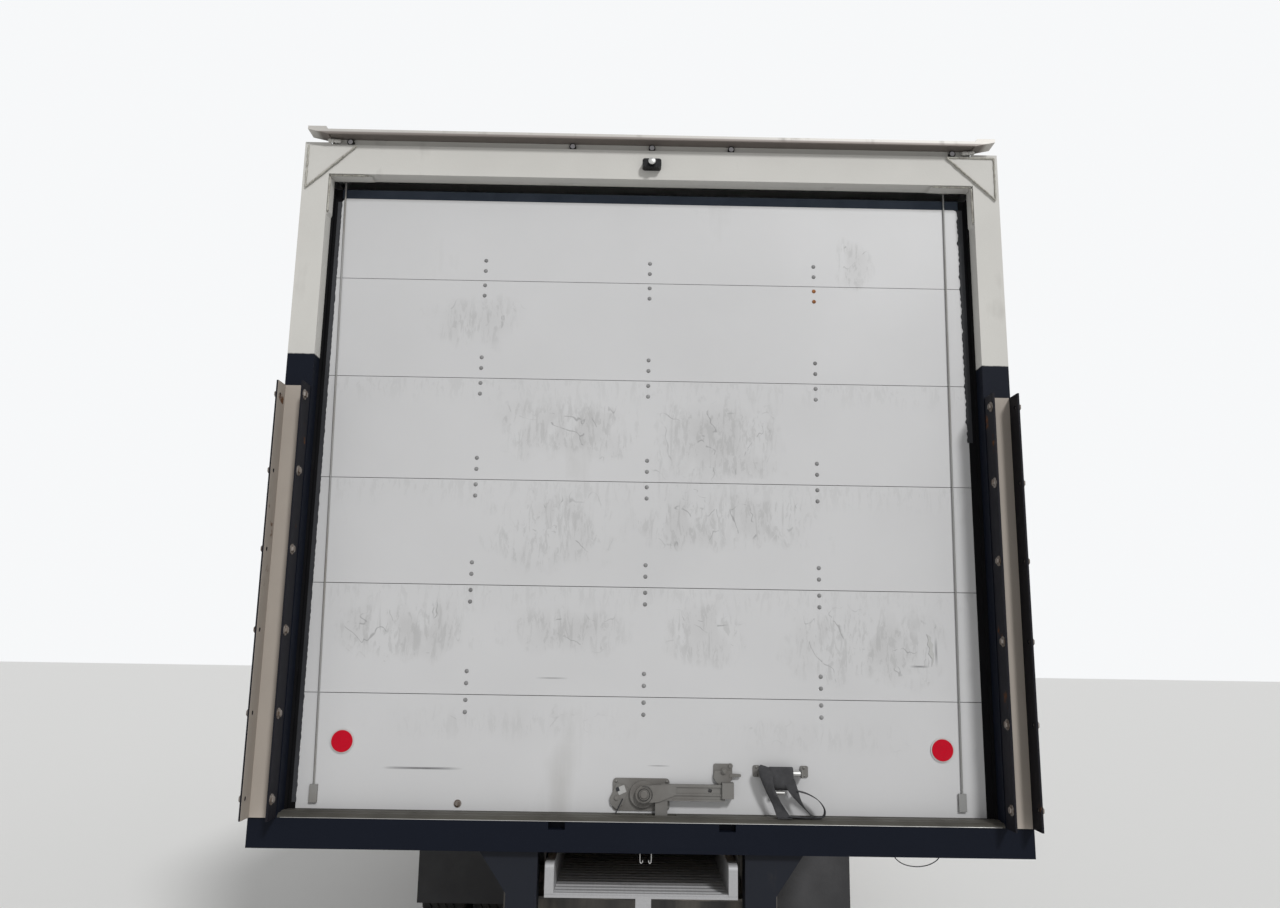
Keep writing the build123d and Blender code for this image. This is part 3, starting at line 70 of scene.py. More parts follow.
forward = Vector((-sin(look_aside) * cos(look_up), -cos(look_aside) * cos(look_up), sin(look_up)))
level = Vector((-cos(look_aside), sin(look_aside), 0))
above = level.cross(forward)
right = cos(lean) * level + sin(lean) * above
up = -sin(lean) * level + cos(lean) * above
camera = bpy.data.objects.new("camera", bpy.data.cameras.new("camera"))
camera.data.sensor_width = film
camera.data.lens = film * focal_px / image_px
camera.data.clip_end = 100
camera.matrix_world = Matrix.Translation(camera_place) @ Matrix((right, up, -forward)).transposed().to_4x4()
scene.collection.objects.link(camera)
scene.camera = camera

# Floor and light. A pale floor under a white sky, with one soft sun from behind the truck's right.
# Camera, mirror and glass rays see the white sky, and everything else is lit by a dimmer one.
def add(tree, kind, links=None, **settings):
    """A node of a shader or geometry tree; links maps its sockets to values or to other sockets."""
    made = tree.nodes.new(kind)
    for key, value in settings.items():
        setattr(made, key, value)
    for socket, value in (links or {}).items():
        if isinstance(value, bpy.types.NodeSocket):
            tree.links.new(value, made.inputs[socket])
        else:
            made.inputs[socket].default_value = value
    return made


def sums(tree, operation, a, b):
    """One sum of two values or sockets."""
    return add(tree, "ShaderNodeMath", {0: a, 1: b}, operation=operation).outputs[0]


sky_strength, sun_strength = 0.56, 1.9
floor_colour = (0.80, 0.80, 0.79, 1)

scene.view_settings.view_transform = "Standard"
world = bpy.data.worlds.new("sky")
world.use_nodes = True
scene.world = world
sky = world.node_tree
sky.nodes.clear()
rays = add(sky, "ShaderNodeLightPath").outputs
seen = rays["Is Camera Ray"]
for kind in ("Is Glossy Ray", "Is Transmission Ray"):
    seen = sums(sky, "MAXIMUM", seen, rays[kind])
lit = add(sky, "ShaderNodeBackground", {"Strength": sky_strength}).outputs[0]
shown = add(sky, "ShaderNodeBackground", {"Color": (0.93, 0.94, 0.95, 1)}).outputs[0]
either = add(sky, "ShaderNodeMixShader", {0: seen, 1: lit, 2: shown}).outputs[0]
add(sky, "ShaderNodeOutputWorld", {"Surface": either})

sun = bpy.data.objects.new("sun", bpy.data.lights.new("sun", "SUN"))
sun.data.energy = sun_strength
sun.data.angle = radians(9)
sun.rotation_euler = Vector((-0.5, 1.1, 0.9)).to_track_quat("Z", "Y").to_euler()
scene.collection.objects.link(sun)

floor_mesh = bpy.data.meshes.new("floor")
reach = 40
floor_mesh.from_pydata([(-reach, -reach, 0), (reach, -reach, 0), (reach, reach, 0), (-reach, reach, 0)], [],
                       [(0, 1, 2, 3)])
floor = bpy.data.objects.new("floor", floor_mesh)
floor_finish = bpy.data.materials.new("floor")
floor_finish.use_nodes = True
floor_finish.node_tree.nodes["Principled BSDF"].inputs["Base Color"].default_value = floor_colour
floor_finish.node_tree.nodes["Principled BSDF"].inputs["Roughness"].default_value = 0.9
floor_mesh.materials.append(floor_finish)
scene.collection.objects.link(floor)
floor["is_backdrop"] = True


# Frame rails, cross members and horns. Channel steel, riveted and painted black, under a film of
# pale road dust that thickens towards the ground.
def between(tree, value, low, high):
    """A value brought from low..high to 0..1 and held there."""
    return add(tree, "ShaderNodeMapRange", {"Value": value, "From Min": low, "From Max": high}).outputs[0]


def mixed(tree, share, a, b):
    """Colour a where share is 0 and colour b where it is 1."""
    return add(tree, "ShaderNodeMix", {0: share, 6: a, 7: b}, data_type="RGBA").outputs[2]


def on_piece(tree):
    """The place on the piece, in the truck's own metres."""
    return add(tree, "ShaderNodeTexCoord").outputs["Object"]


def split(tree, place):
    """A place's X, Y and Z."""
    return add(tree, "ShaderNodeSeparateXYZ", {0: place}).outputs


def stretched(tree, place, scale):
    """A place stretched or squeezed along the axes."""
    return add(tree, "ShaderNodeMapping", {"Vector": place, "Scale": scale}).outputs[0]


def cloudy(tree, place, scale, detail=2.0, **more):
    """Noise over the surface, from 0 to 1."""
    return add(tree, "ShaderNodeTexNoise",
               {"Vector": place, "Scale": scale, "Detail": detail, **more}).outputs[0]


def embossed(tree, into, height, strength, distance):
    """Raises the surface by a height."""
    relief = add(tree, "ShaderNodeBump", {"Height": height, "Strength": strength, "Distance": distance})
    tree.links.new(relief.outputs[0], into["Normal"])


def plus(tree, base, value, share):
    """A base and a share of a value."""
    return sums(tree, "ADD", base, sums(tree, "MULTIPLY", value, share))


def highest(tree, masks):
    """The highest of several masks."""
    total = masks[0]
    for mask in masks[1:]:
        total = sums(tree, "MAXIMUM", total, mask)
    return total


def shader_group(name, inputs, outputs):
    """An empty node group with its sockets; it returns the tree, what comes in and what goes out."""
    tree = bpy.data.node_groups.new(name, "ShaderNodeTree")
    for side, sockets in (("INPUT", inputs), ("OUTPUT", outputs)):
        for label, kind in sockets.items():
            tree.interface.new_socket(label, in_out=side, socket_type="NodeSocket" + kind)
    return tree, tree.nodes.new("NodeGroupInput").outputs, tree.nodes.new("NodeGroupOutput").inputs


def road_film_group():
    """Dirt on a painted or bare surface: blotches, streaks that run down, and splash near the ground."""
    tree, given, out = shader_group(
        "road film",
        {"Paint": "Color", "Dirt": "Color", "Amount": "Float", "Scale": "Float", "Splash top": "Float",
         "Shine": "Float"},
        {"Color": "Color", "Roughness": "Float", "Height": "Float"})
    place = on_piece(tree)
    blotch = cloudy(tree, place, given["Scale"], 6.0)
    streak = cloudy(tree, stretched(tree, place, (3.0, 3.0, 0.25)), given["Scale"], 5.0)
    grain = cloudy(tree, place, 160.0)
    spots = sums(tree, "MULTIPLY", blotch, streak)
    spread = sums(tree, "SUBTRACT", 0.42, sums(tree, "MULTIPLY", given["Amount"], 0.34))
    dirt = between(tree, spots, spread, sums(tree, "ADD", spread, 0.22))
    height = split(tree, place)["Z"]
    low = between(tree, height, given["Splash top"], 0.2)
    splash = sums(tree, "MULTIPLY", low, between(tree, streak, 0.25, 0.7))
    mask = sums(tree, "MINIMUM", sums(tree, "ADD", sums(tree, "MULTIPLY", dirt, 0.75), splash), 1.0)
    shade = mixed(tree, between(tree, blotch, 0.2, 0.8), (0.9, 0.9, 0.9, 1), (1, 1, 1, 1))
    paint = add(tree, "ShaderNodeMix", {0: 1.0, 6: given["Paint"], 7: shade}, data_type="RGBA",
                blend_type="MULTIPLY").outputs[2]
    tree.links.new(mixed(tree, mask, paint, given["Dirt"]), out["Color"])
    tree.links.new(sums(tree, "MINIMUM", plus(tree, given["Shine"], mask, 0.4), 0.95), out["Roughness"])
    tree.links.new(plus(tree, grain, mask, 0.5), out["Height"])
    return tree


road_film = road_film_group()


def shader(name, **plain):
    """A new material, its tree and its Principled shader with plain values on its own sockets."""
    made = bpy.data.materials.new(name)
    made.use_nodes = True
    principled = made.node_tree.nodes["Principled BSDF"]
    for socket, value in plain.items():
        principled.inputs[socket.replace("_", " ")].default_value = value
    return made, made.node_tree, principled.inputs


def filmed(tree, paint, amount, scale, shine, dirt=(0.26, 0.25, 0.23), splash=0.9):
    """Colour, roughness and height of a paint under road film, inside a material."""
    return add(tree, "ShaderNodeGroup",
               {"Paint": (*paint, 1), "Dirt": (*dirt, 1), "Amount": amount, "Scale": scale,
                "Splash top": splash, "Shine": shine}, node_tree=road_film).outputs


def weathered(name, paint, dirt=(0.33, 0.30, 0.26), amount=0.35, scale=2.5, splash=0.9, shine=0.4,
              bump=0.05, **plain):
    """A surface under road film."""
    made, tree, into = shader(name, **plain)
    film = filmed(tree, paint, amount, scale, shine, dirt, splash)
    tree.links.new(film["Color"], into["Base Color"])
    tree.links.new(film["Roughness"], into["Roughness"])
    embossed(tree, into, film["Height"], bump, 0.002)
    return made


def coat(finish, *nodes):
    """Gives CAD nodes a finish."""
    for name in nodes:
        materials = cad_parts[name].data.materials
        materials.clear()
        materials.append(finish)


chassis_black = weathered("chassis black", (0.018, 0.018, 0.02), amount=0.55, scale=3.5, splash=1.3,
                          shine=0.45)
coat(chassis_black, "frame_rails", "leaf_springs", "ramp_guides", "front_axle", "rear_axle", "tie_rod",
     "knuckle_left", "knuckle_right")


def fastener_tree(label, rounded):
    """Each point becomes one head: a six-sided bolt head on its washer, or a rivet's low dome."""
    tree = bpy.data.node_groups.new(label, "GeometryNodeTree")
    tree.interface.new_socket("Geometry", in_out="INPUT", socket_type="NodeSocketGeometry")
    for name, kind in {"Radius": "Float", "Height": "Float", "Turn": "Vector", "Finish": "Material"}.items():
        tree.interface.new_socket(name, in_out="INPUT", socket_type="NodeSocket" + kind)
    tree.interface.new_socket("Geometry", in_out="OUTPUT", socket_type="NodeSocketGeometry")
    given, out = tree.nodes.new("NodeGroupInput").outputs, tree.nodes.new("NodeGroupOutput").inputs
    if rounded:
        ball = add(tree, "GeometryNodeMeshUVSphere", {"Segments": 10, "Rings": 6, "Radius": 1.0}).outputs[0]
        size = add(tree, "ShaderNodeCombineXYZ", {0: given["Radius"], 1: given["Radius"], 2: given["Height"]})
        head = add(tree, "GeometryNodeTransform", {"Geometry": ball, "Scale": size.outputs[0]}).outputs[0]
        head = add(tree, "GeometryNodeSetShadeSmooth", {"Geometry": head}).outputs[0]
    else:
        wide, top = (sums(tree, "MULTIPLY", given["Radius"], share) for share in (1.35, 0.82))
        thin = sums(tree, "MULTIPLY", given["Height"], 0.5)
        washer = add(tree, "GeometryNodeMeshCylinder",
                     {"Vertices": 18, "Radius": wide, "Depth": thin}).outputs[0]
        hexagon = add(tree, "GeometryNodeMeshCone", {"Vertices": 6, "Radius Bottom": given["Radius"],
                                                     "Radius Top": top, "Depth": given["Height"]}).outputs[0]
        joined = tree.nodes.new("GeometryNodeJoinGeometry")
        for part in (washer, hexagon):
            tree.links.new(part, joined.inputs[0])
        head = joined.outputs[0]
    placed = add(tree, "GeometryNodeInstanceOnPoints",
                 {"Points": given["Geometry"], "Instance": head, "Rotation": given["Turn"]})
    real = add(tree, "GeometryNodeRealizeInstances", {"Geometry": placed.outputs[0]})
    painted = add(tree, "GeometryNodeSetMaterial", {"Geometry": real.outputs[0], "Material": given["Finish"]})
    tree.links.new(painted.outputs[0], out["Geometry"])
    return tree


bolt_heads, rivet_heads = fastener_tree("bolt heads", False), fastener_tree("rivet heads", True)


def baked(drawn):
    """The plain mesh that a curve or a mesh with modifiers gives."""
    return bpy.data.meshes.new_from_object(drawn.evaluated_get(bpy.context.evaluated_depsgraph_get()))


def settled(made):
    """Puts what the modifiers give in place of the mesh, and takes them off."""
    plain = baked(made)
    made.modifiers.clear()
    made.data = plain
    return plain


def grown(name, mesh, tree, body, **inputs):
    """The plain mesh that a Geometry Nodes tree grows from a mesh, riding on a body."""
    made = bpy.data.objects.new(name, mesh)
    scene.collection.objects.link(made)
    modifier = made.modifiers.new("grow", "NODES")
    modifier.node_group = tree
    for socket in tree.interface.items_tree:
        if socket.in_out == "INPUT" and socket.name in inputs:
            modifier[socket.identifier] = inputs[socket.name]
    settled(made)
    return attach(made, body)


def heads(name, places, facing, radius, height, finish, body="truck", rounded=False):
    """Bolt heads, or rivets, at places on a surface that faces one way."""
    points = bpy.data.meshes.new(name)
    points.from_pydata(places, [], [])
    turn = Vector(facing).to_track_quat("Z", "X").to_euler()
    return grown(name, points, rivet_heads if rounded else bolt_heads, body, Radius=radius, Height=height,
                 Turn=tuple(turn), Finish=finish)


rail_side = 0.432
bolt_steel = weathered("bolt steel", (0.20, 0.19, 0.18), (0.16, 0.10, 0.06), 0.5, 30, 0.2, 0.5, Metallic=0.6)
frame_bolt_y = (-4.78, -4.70, -3.50, -3.42, -2.35, -2.27, -0.72, -0.64, 0.30, 0.38, 1.22, 1.30, 2.55, 2.63,
                3.72, 3.80, 4.80, 4.88)
both_sides = (("left", 1), ("right", -1))
for side, sign in both_sides:
    heads(f"frame_bolts_{side}", [(sign * rail_side, y, z) for y in frame_bolt_y for z in (0.72, 0.90)],
          (sign, 0, 0), 0.011, 0.010, bolt_steel)


# Spring clamps. Two U-bolts of round bar clamp each leaf pack to its axle; their ends pass the seat
# plate, with a nut under it on each.
def tube(name, runs, radius, finish, body="truck", smooth=True, closed=False, steps=6):
    """Round bar or hose along points, one tube for each run, as one mesh."""
    curve = bpy.data.curves.new(name, "CURVE")
    curve.dimensions = "3D"
    curve.bevel_depth = radius
    curve.bevel_resolution = 3
    curve.use_fill_caps = True
    curve.resolution_u = steps
    for run in runs:
        line = curve.splines.new("NURBS" if smooth else "POLY")
        line.points.add(len(run) - 1)
        for point, place in zip(line.points, run):
            point.co = (*place, 1)
        line.use_cyclic_u = closed
        if smooth:
            line.order_u = 3
            line.use_endpoint_u = not closed
    drawn = bpy.data.objects.new(name, curve)
    scene.collection.objects.link(drawn)
    mesh = baked(drawn)
    bpy.data.objects.remove(drawn)
    mesh.materials.clear()
    mesh.materials.append(finish)
    mesh.shade_smooth()
    made = bpy.data.objects.new(name, mesh)
    scene.collection.objects.link(made)
    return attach(made, body)


front_axle_y = (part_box("front_axle")[0].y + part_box("front_axle")[1].y) / 2
rear_axle_y = (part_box("wheels_rear_left")[0].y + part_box("wheels_rear_left")[1].y) / 2
axle_z = 0.465
clamp_runs, clamp_nuts = [], []
for spring_x, axle_y, top, bottom in ((0.392, front_axle_y, 0.531, 0.365),
                                      (0.486, rear_axle_y, 0.592, 0.395)):
    for side in (1, -1):
        for along in (-0.062, 0.062):
            x_in, x_out, y = side * (spring_x - 0.043), side * (spring_x + 0.043), axle_y + along
            clamp_runs.append([(x_in, y, bottom), (x_in, y, bottom + 0.1), (x_in, y, top), (x_out, y, top),
                               (x_out, y, bottom + 0.1), (x_out, y, bottom)])
            clamp_nuts += [(x_in, y, bottom + 0.012), (x_out, y, bottom + 0.012)]
tube("spring_clamps", clamp_runs, 0.008, chassis_black)
heads("spring_clamp_nuts", clamp_nuts, (0, 0, -1), 0.014, 0.016, bolt_steel)

# Engine with its gearbox, and radiator. A cast iron block and a finned core, seen from below and
# through the wheel arches.
cast_iron = weathered("cast iron", (0.06, 0.062, 0.065), amount=0.6, scale=6, splash=1.2, shine=0.6,
                      bump=0.25, Metallic=0.3)
coat(cast_iron, "engine_block")


def finned():
    """Radiator core: thin level fins between upright tubes, with painted shade in the gaps between them."""
    made, tree, into = shader("radiator core", Metallic=0.7, Roughness=0.45)
    place = on_piece(tree)
    fins = add(tree, "ShaderNodeTexWave", {"Vector": place, "Scale": 60.0}, bands_direction="Z")
    tubes = add(tree, "ShaderNodeTexWave", {"Vector": place, "Scale": 14.0}, bands_direction="X")
    deep = sums(tree, "MULTIPLY", fins.outputs[1], tubes.outputs[1])
    # The near-black between the fins is painted shade in the core's gaps.
    tree.links.new(mixed(tree, deep, (0.03, 0.03, 0.03, 1), (0.30, 0.31, 0.32, 1)), into["Base Color"])
    embossed(tree, into, deep, 0.6, 0.003)
    return made


coat(finned(), "radiator")

# Tyres. Highway ribs with zigzag grooves in front, the same with cut shoulders behind; carbon-black
# rubber, dusty in the grooves and grey on the treads.
tyre_radius, tyre_half, bead_radius, bead_half = 0.4648, 0.1275, 0.2865, 0.084
groove_deep, zigzag = 0.012, 0.0035
tread_steps = 160
grooves = (-0.066, -0.022, 0.022, 0.066)


def rubber():
    """Tyre rubber: charcoal, greyer with dust away from the tread, finely pitted."""
    made, tree, into = shader("tyre rubber", Specular_IOR_Level=0.3)
    place = on_piece(tree)
    dust = cloudy(tree, place, 9.0, 7.0)
    pits = cloudy(tree, place, 240.0)
    tree.links.new(mixed(tree, between(tree, dust, 0.35, 0.75), (0.014, 0.014, 0.015, 1),
                         (0.085, 0.08, 0.072, 1)), into["Base Color"])
    tree.links.new(plus(tree, 0.6, dust, 0.3), into["Roughness"])
    embossed(tree, into, pits, 0.15, 0.001)
    return made


def tyre_section(step, cut_shoulders):
    """One radial section of a tyre as (x, radius), its grooves moved by the zigzag."""
    shift = zigzag * (1 if step // 2 % 2 else -1)
    tread = []
    for middle in grooves:
        for across, deep in ((-0.0050, 0), (-0.0032, 1), (0.0032, 1), (0.0050, 0)):
            tread.append((middle + across + shift, tyre_radius - deep * groove_deep))
    shoulder = tyre_radius - (0.007 if cut_shoulders and step % 4 < 1 else 0)
    wall = [(tyre_half - inset, radius) for inset, radius in (
        (0.020, shoulder), (0.009, shoulder - 0.008), (0.004, 0.430), (0.0035, 0.418), (0.001, 0.405),
        (0, 0.372), (0.003, 0.345), (0.001, 0.341), (0.0015, 0.336), (0.009, 0.322))]
    wall += [(0.104, 0.306), (bead_half + 0.004, 0.294), (bead_half, bead_radius)]
    inside = [(0.066, 0.330), (0.086, 0.385), (0.060, 0.432)]
    half = wall + inside
    return tread + half + [(-x, r) for x, r in reversed(half)]


def skin(bm, rings):
    """Faces between rings of vertices, each ring closed on itself."""
    for here, ahead in zip(rings, rings[1:]):
        for i in range(len(here)):
            j = (i + 1) % len(here)
            bm.faces.new((here[i], here[j], ahead[j], ahead[i]))


def tyre_mesh(bm, middle_x, axle_y, cut_shoulders):
    """Adds one tyre to bm, as rings of sections round its axle."""
    rings = []
    for step in range(tread_steps):
        turn = 2 * pi * step / tread_steps
        rings.append([bm.verts.new((middle_x + x, axle_y + r * sin(turn), axle_z + r * cos(turn)))
                      for x, r in tyre_section(step, cut_shoulders)])
    skin(bm, rings + rings[:1])


def finished(name, bm, finish, body="truck", smooth=None):
    """A bmesh becomes a piece with outward faces; smooth is the angle up to which edges are soft."""
    bmesh.ops.recalc_face_normals(bm, faces=bm.faces)
    mesh = bpy.data.meshes.new(name)
    bm.to_mesh(mesh)
    bm.free()
    mesh.materials.append(finish)
    if smooth:
        mesh.shade_smooth()
        mesh.set_sharp_from_angle(angle=radians(smooth))
    made = bpy.data.objects.new(name, mesh)
    scene.collection.objects.link(made)
    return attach(made, body)


tyre_rubber = rubber()
for side, sign in both_sides:
    for place, body, axle_y, middles in (
            ("front", f"front_wheel_{side}", front_axle_y, (0.990,)),
            ("rear", f"rear_wheels_{side}", rear_axle_y, (0.802, 1.092))):
        bm = bmesh.new()
        for middle in middles:
            tyre_mesh(bm, sign * middle, axle_y, place == "rear")
        node_name = f"tyre_front_{side}" if place == "front" else f"tyres_rear_{side}"
        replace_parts(finished(f"{node_name}_tread", bm, tyre_rubber, body, smooth=28), node_name)

# Wheels. Pressed steel discs, painted white and rust-stained round the nuts and hand holes, with
# ten nuts on studs round the hub, a front oil cap and a rear axle flange with its own bolts.
wheel_white = weathered("wheel white", (0.60, 0.60, 0.58), (0.20, 0.13, 0.08), 0.5, 9, 0.4, 0.42)
nut_steel = weathered("nut steel", (0.30, 0.28, 0.26), (0.24, 0.13, 0.07), 0.6, 40, 0.1, 0.45, Metallic=0.7)
stud_circle, studs = 0.1430, 10
flange_circle, flange_bolts = 0.044, 8
coat(wheel_white, "wheel_front_left", "wheel_front_right", "wheels_rear_left", "wheels_rear_right")


def round_axle(x, axle_y, circle, count):
    """Places on one circle round an axle."""
    return [(x, axle_y + circle * sin(2 * pi * i / count), axle_z + circle * cos(2 * pi * i / count))
            for i in range(count)]


for side, sign in both_sides:
    for place, body, axle_y, disc_x, hub_x in (
            ("front", f"front_wheel_{side}", front_axle_y, 1.112, 1.174),
            ("rear", f"rear_wheels_{side}", rear_axle_y, 0.982, 1.077)):
        heads(f"wheel_nuts_{place}_{side}", round_axle(sign * disc_x, axle_y, stud_circle, studs),
              (sign, 0, 0), 0.0165, 0.024, nut_steel, body)
        heads(f"hub_bolts_{place}_{side}", round_axle(sign * hub_x, axle_y, flange_circle, flange_bolts),
              (sign, 0, 0), 0.008, 0.007, nut_steel, body)

# Fuel tank and its steps, battery box, exhaust. Brushed aluminium tank and tread-plate steps on the
# left, a painted steel box on the right with the muffler behind it.
def brushed(name, colour, along, roughness=0.35, stain=(0.20, 0.17, 0.13), amount=0.4, metal=0.9):
    """Bare metal with fine brush lines across one axis, stained by the road."""
    made, tree, into = shader(name, Metallic=metal)
    place = on_piece(tree)
    lines = cloudy(tree, stretched(tree, place, along), 60.0, 3.0)
    blotch = cloudy(tree, place, 5.0, 8.0)
    soiled = sums(tree, "MULTIPLY", between(tree, blotch, 0.45, 0.75), amount)
    tree.links.new(mixed(tree, soiled, (*colour, 1), (*stain, 1)), into["Base Color"])
    tree.links.new(plus(tree, roughness, soiled, 0.5), into["Roughness"])
    embossed(tree, into, lines, 0.12, 0.001)
    return made


tank_aluminium = brushed("tank aluminium", (0.62, 0.63, 0.64), (1, 0.05, 1))
box_grey = weathered("box grey", (0.10, 0.10, 0.105), amount=0.5, scale=4, splash=1.1, shine=0.4)
pipe_steel = weathered("pipe steel", (0.28, 0.24, 0.20), (0.20, 0.09, 0.045), 0.8, 7, 0.6, 0.55, bump=0.2,
                       Metallic=0.6)
coat(tank_aluminium, "fuel_tank")
coat(box_grey, "battery_box")
coat(pipe_steel, "exhaust")


def turned(name, profile, foot, facing, finish, body="truck", steps=36, smooth=35):
    """A round piece: its (radius, height) profile turned about an axis that faces one way."""
    bm = bmesh.new()
    frame_turn = Matrix.Translation(foot) @ Vector(facing).to_track_quat("Z", "X").to_matrix().to_4x4()
    rings = []
    for radius, height in profile:
        if radius < 1e-6:
            rings.append([bm.verts.new(frame_turn @ Vector((0, 0, height)))])
        else:
            rings.append([bm.verts.new(frame_turn @ Vector((radius * cos(2 * pi * i / steps),
                                                            radius * sin(2 * pi * i / steps), height)))
                          for i in range(steps)])
    for lower, upper in zip(rings, rings[1:]):
        for i in range(steps):
            j = (i + 1) % steps
            corners = [lower[i % len(lower)], lower[j % len(lower)],
                       upper[j % len(upper)], upper[i % len(upper)]]
            bm.faces.new([v for k, v in enumerate(corners) if v not in corners[:k]])
    for ring in (rings[0], rings[-1]):
        if len(ring) > 1:
            bm.faces.new(ring)
    return finished(name, bm, finish, body, smooth)


tank_low, tank_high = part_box("fuel_tank")
turned("tank_cap", [(0.062, -0.012), (0.062, 0.0), (0.050, 0.004), (0.050, 0.022), (0.044, 0.030),
                    (0, 0.030)],
       (0.90, tank_low.y + 0.25, tank_high.z - 0.034), (0.50, 0, 0.87), tank_aluminium)

# Bumper. Pressed steel, painted white and bolted to the frame's horns, with two hooks of bent
# round bar under its lip for towing.
bumper_white = weathered("bumper white", (0.62, 0.62, 0.60), (0.25, 0.22, 0.18), 0.45, 5, 0.75, 0.35,
                         Coat_Weight=0.3)
coat(bumper_white, "front_bumper")
bumper_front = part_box("front_bumper")[0].y
heads("bumper_bolts", [(side * x, bumper_front - 0.001, z) for side in (1, -1) for x in (0.405, 0.455)
                       for z in (0.455, 0.545)], (0, -1, 0), 0.013, 0.008, bolt_steel)
hook_steel = weathered("hook steel", (0.035, 0.035, 0.035), amount=0.4, scale=9, splash=0.7, shine=0.5)
tow_hook = ((0.36, 0.20, 0.415), (0.36, 0.05, 0.405), (0.36, 0.02, 0.395), (0.31, 0.02, 0.395),
            (0.31, 0.05, 0.405), (0.31, 0.20, 0.415))
tube("tow_hooks", [[(side * x, bumper_front + y, z) for x, y, z in tow_hook] for side in (1, -1)], 0.012,
     hook_steel)

# Cab and hood. Steel cab and moulded hood, both in the fleet's white with a little clear coat, dusty
# towards the sills; black grained plastic for the grille, the mirrors and the trim.
cab_white = weathered("cab white", (0.66, 0.66, 0.645), (0.30, 0.27, 0.22), 0.3, 2.2, 1.15, 0.28,
                      Coat_Weight=0.4, Coat_Roughness=0.12)
coat(cab_white, "cab_shell", "cab_roof", "hood_shell")
coat(chassis_black, "cab_floor")


def grained(name, colour, grain=220.0, depth=0.25):
    """Moulded plastic or vinyl with a leather-like grain, a little chalky from the sun."""
    made, tree, into = shader(name, Specular_IOR_Level=0.4)
    place = on_piece(tree)
    cells = add(tree, "ShaderNodeTexVoronoi", {"Vector": place, "Scale": grain},
                feature="SMOOTH_F1").outputs[0]
    chalk = cloudy(tree, place, 3.0, 6.0)
    pale = tuple(min(1.0, c * 1.8 + 0.02) for c in colour)
    tree.links.new(mixed(tree, between(tree, chalk, 0.4, 0.85), (*colour, 1), (*pale, 1)), into["Base Color"])
    tree.links.new(plus(tree, 0.5, chalk, 0.25), into["Roughness"])
    embossed(tree, into, cells, depth, 0.001)
    return made


def door_white(reach):
    """The cab doors' paint; what stands further out than reach is the mirror's black plastic."""
    made, tree, into = shader("cab door white", Coat_Weight=0.2)
    film = filmed(tree, (0.66, 0.66, 0.645), 0.3, 2.2, 0.3, (0.30, 0.27, 0.22), 1.15)
    out = sums(tree, "ABSOLUTE", split(tree, on_piece(tree))["X"], 0.0)
    beyond = sums(tree, "GREATER_THAN", out, reach)
    tree.links.new(mixed(tree, beyond, film["Color"], (0.022, 0.022, 0.024, 1)), into["Base Color"])
    tree.links.new(plus(tree, film["Roughness"], beyond, 0.25), into["Roughness"])
    return made


coat(door_white(reach=1.071), "cab_door_left", "cab_door_right")
black_plastic = grained("black plastic", (0.022, 0.022, 0.024))
dash_vinyl = grained("dash vinyl", (0.07, 0.072, 0.075), 160.0)
coat(black_plastic, "grille", "steering_wheel")
coat(dash_vinyl, "cab_dash")


def glazing(name, tint):
    """Window glass: clear, faintly tinted, with a haze of dust that dulls its shine in patches."""
    made, tree, into = shader(name, Transmission_Weight=0.92, IOR=1.45, Base_Color=(*tint, 1))
    haze = cloudy(tree, on_piece(tree), 2.0, 6.0)
    tree.links.new(sums(tree, "MULTIPLY", between(tree, haze, 0.35, 0.9), 0.16), into["Roughness"])
    return made


cab_glass = glazing("cab glass", (0.72, 0.80, 0.78))
coat(cab_glass, "cab_glass", "door_glass_left", "door_glass_right")
lamp_glass = glazing("lamp glass", (0.90, 0.92, 0.92))
coat(lamp_glass, "headlamps")

# Window gaskets, wipers, grab handles and number plates. Black rubber sections round the glass, two
# wipers parked on the windscreen's foot, painted steel handles behind the doors, plates left bare.
cowl, cab_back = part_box("cab_floor")[0].y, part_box("cab_floor")[1].y
belt_z, side_half, side_lean = 1.560, 1.040, 0.080 / 0.880
screen_foot_z, screen_foot_y, screen_lean = 1.610, cowl + 0.060, 0.480 / 0.720


def rounded_run(corners, cut=0.05):
    """A closed run through corners, with two points near each so that the smooth line stays close."""
    run = []
    for i, corner in enumerate(corners):
        here = Vector(corner)
        for other in (corners[i - 1], corners[(i + 1) % len(corners)]):
            run.append(here + (Vector(other) - here).normalized() * cut)
    return run


def door_skin(z):
    """How far out the cab's side is at a height."""
    return side_half - max(0.0, z - belt_z) * side_lean


def screen_y(z):
    """How far along the windscreen's plane is at a height."""
    return screen_foot_y + (z - screen_foot_z) * screen_lean


gasket_rubber = grained("gasket rubber", (0.014, 0.014, 0.015), 150.0)
for side, sign in both_sides:
    edge = [(cowl + 0.240, 1.580), (cowl + 0.630, 2.215), (cab_back - 0.240, 2.215),
            (cab_back - 0.240, 1.580)]
    window = rounded_run([(sign * (door_skin(z) + 0.001), y, z) for y, z in edge])
    tube(f"window_gasket_{side}", [window], 0.009, gasket_rubber, f"door_{side}", closed=True)
    handle = ((0, 1.20), (0.030, 1.20), (0.030, 1.24), (0.030, 1.50), (0.030, 1.51), (0, 1.55))
    tube(f"grab_handle_{side}", [[(sign * (side_half + off), cab_back - 0.075, z) for off, z in handle]],
         0.011, black_plastic)
screen_edge = ((-0.900, 1.635), (0.900, 1.635), (0.810, 2.300), (-0.810, 2.300))
screen = rounded_run([(x, screen_y(z) - 0.004, z) for x, z in screen_edge], 0.075)
tube("windscreen_gasket", [screen], 0.010, gasket_rubber, closed=True)
rear_edge = ((-0.380, 1.760), (0.380, 1.760), (0.380, 2.150), (-0.380, 2.150))
rear_glass = rounded_run([(x, cab_back + 0.001, z) for x, z in rear_edge])
tube("rear_window_gasket", [rear_glass], 0.010, gasket_rubber, closed=True)
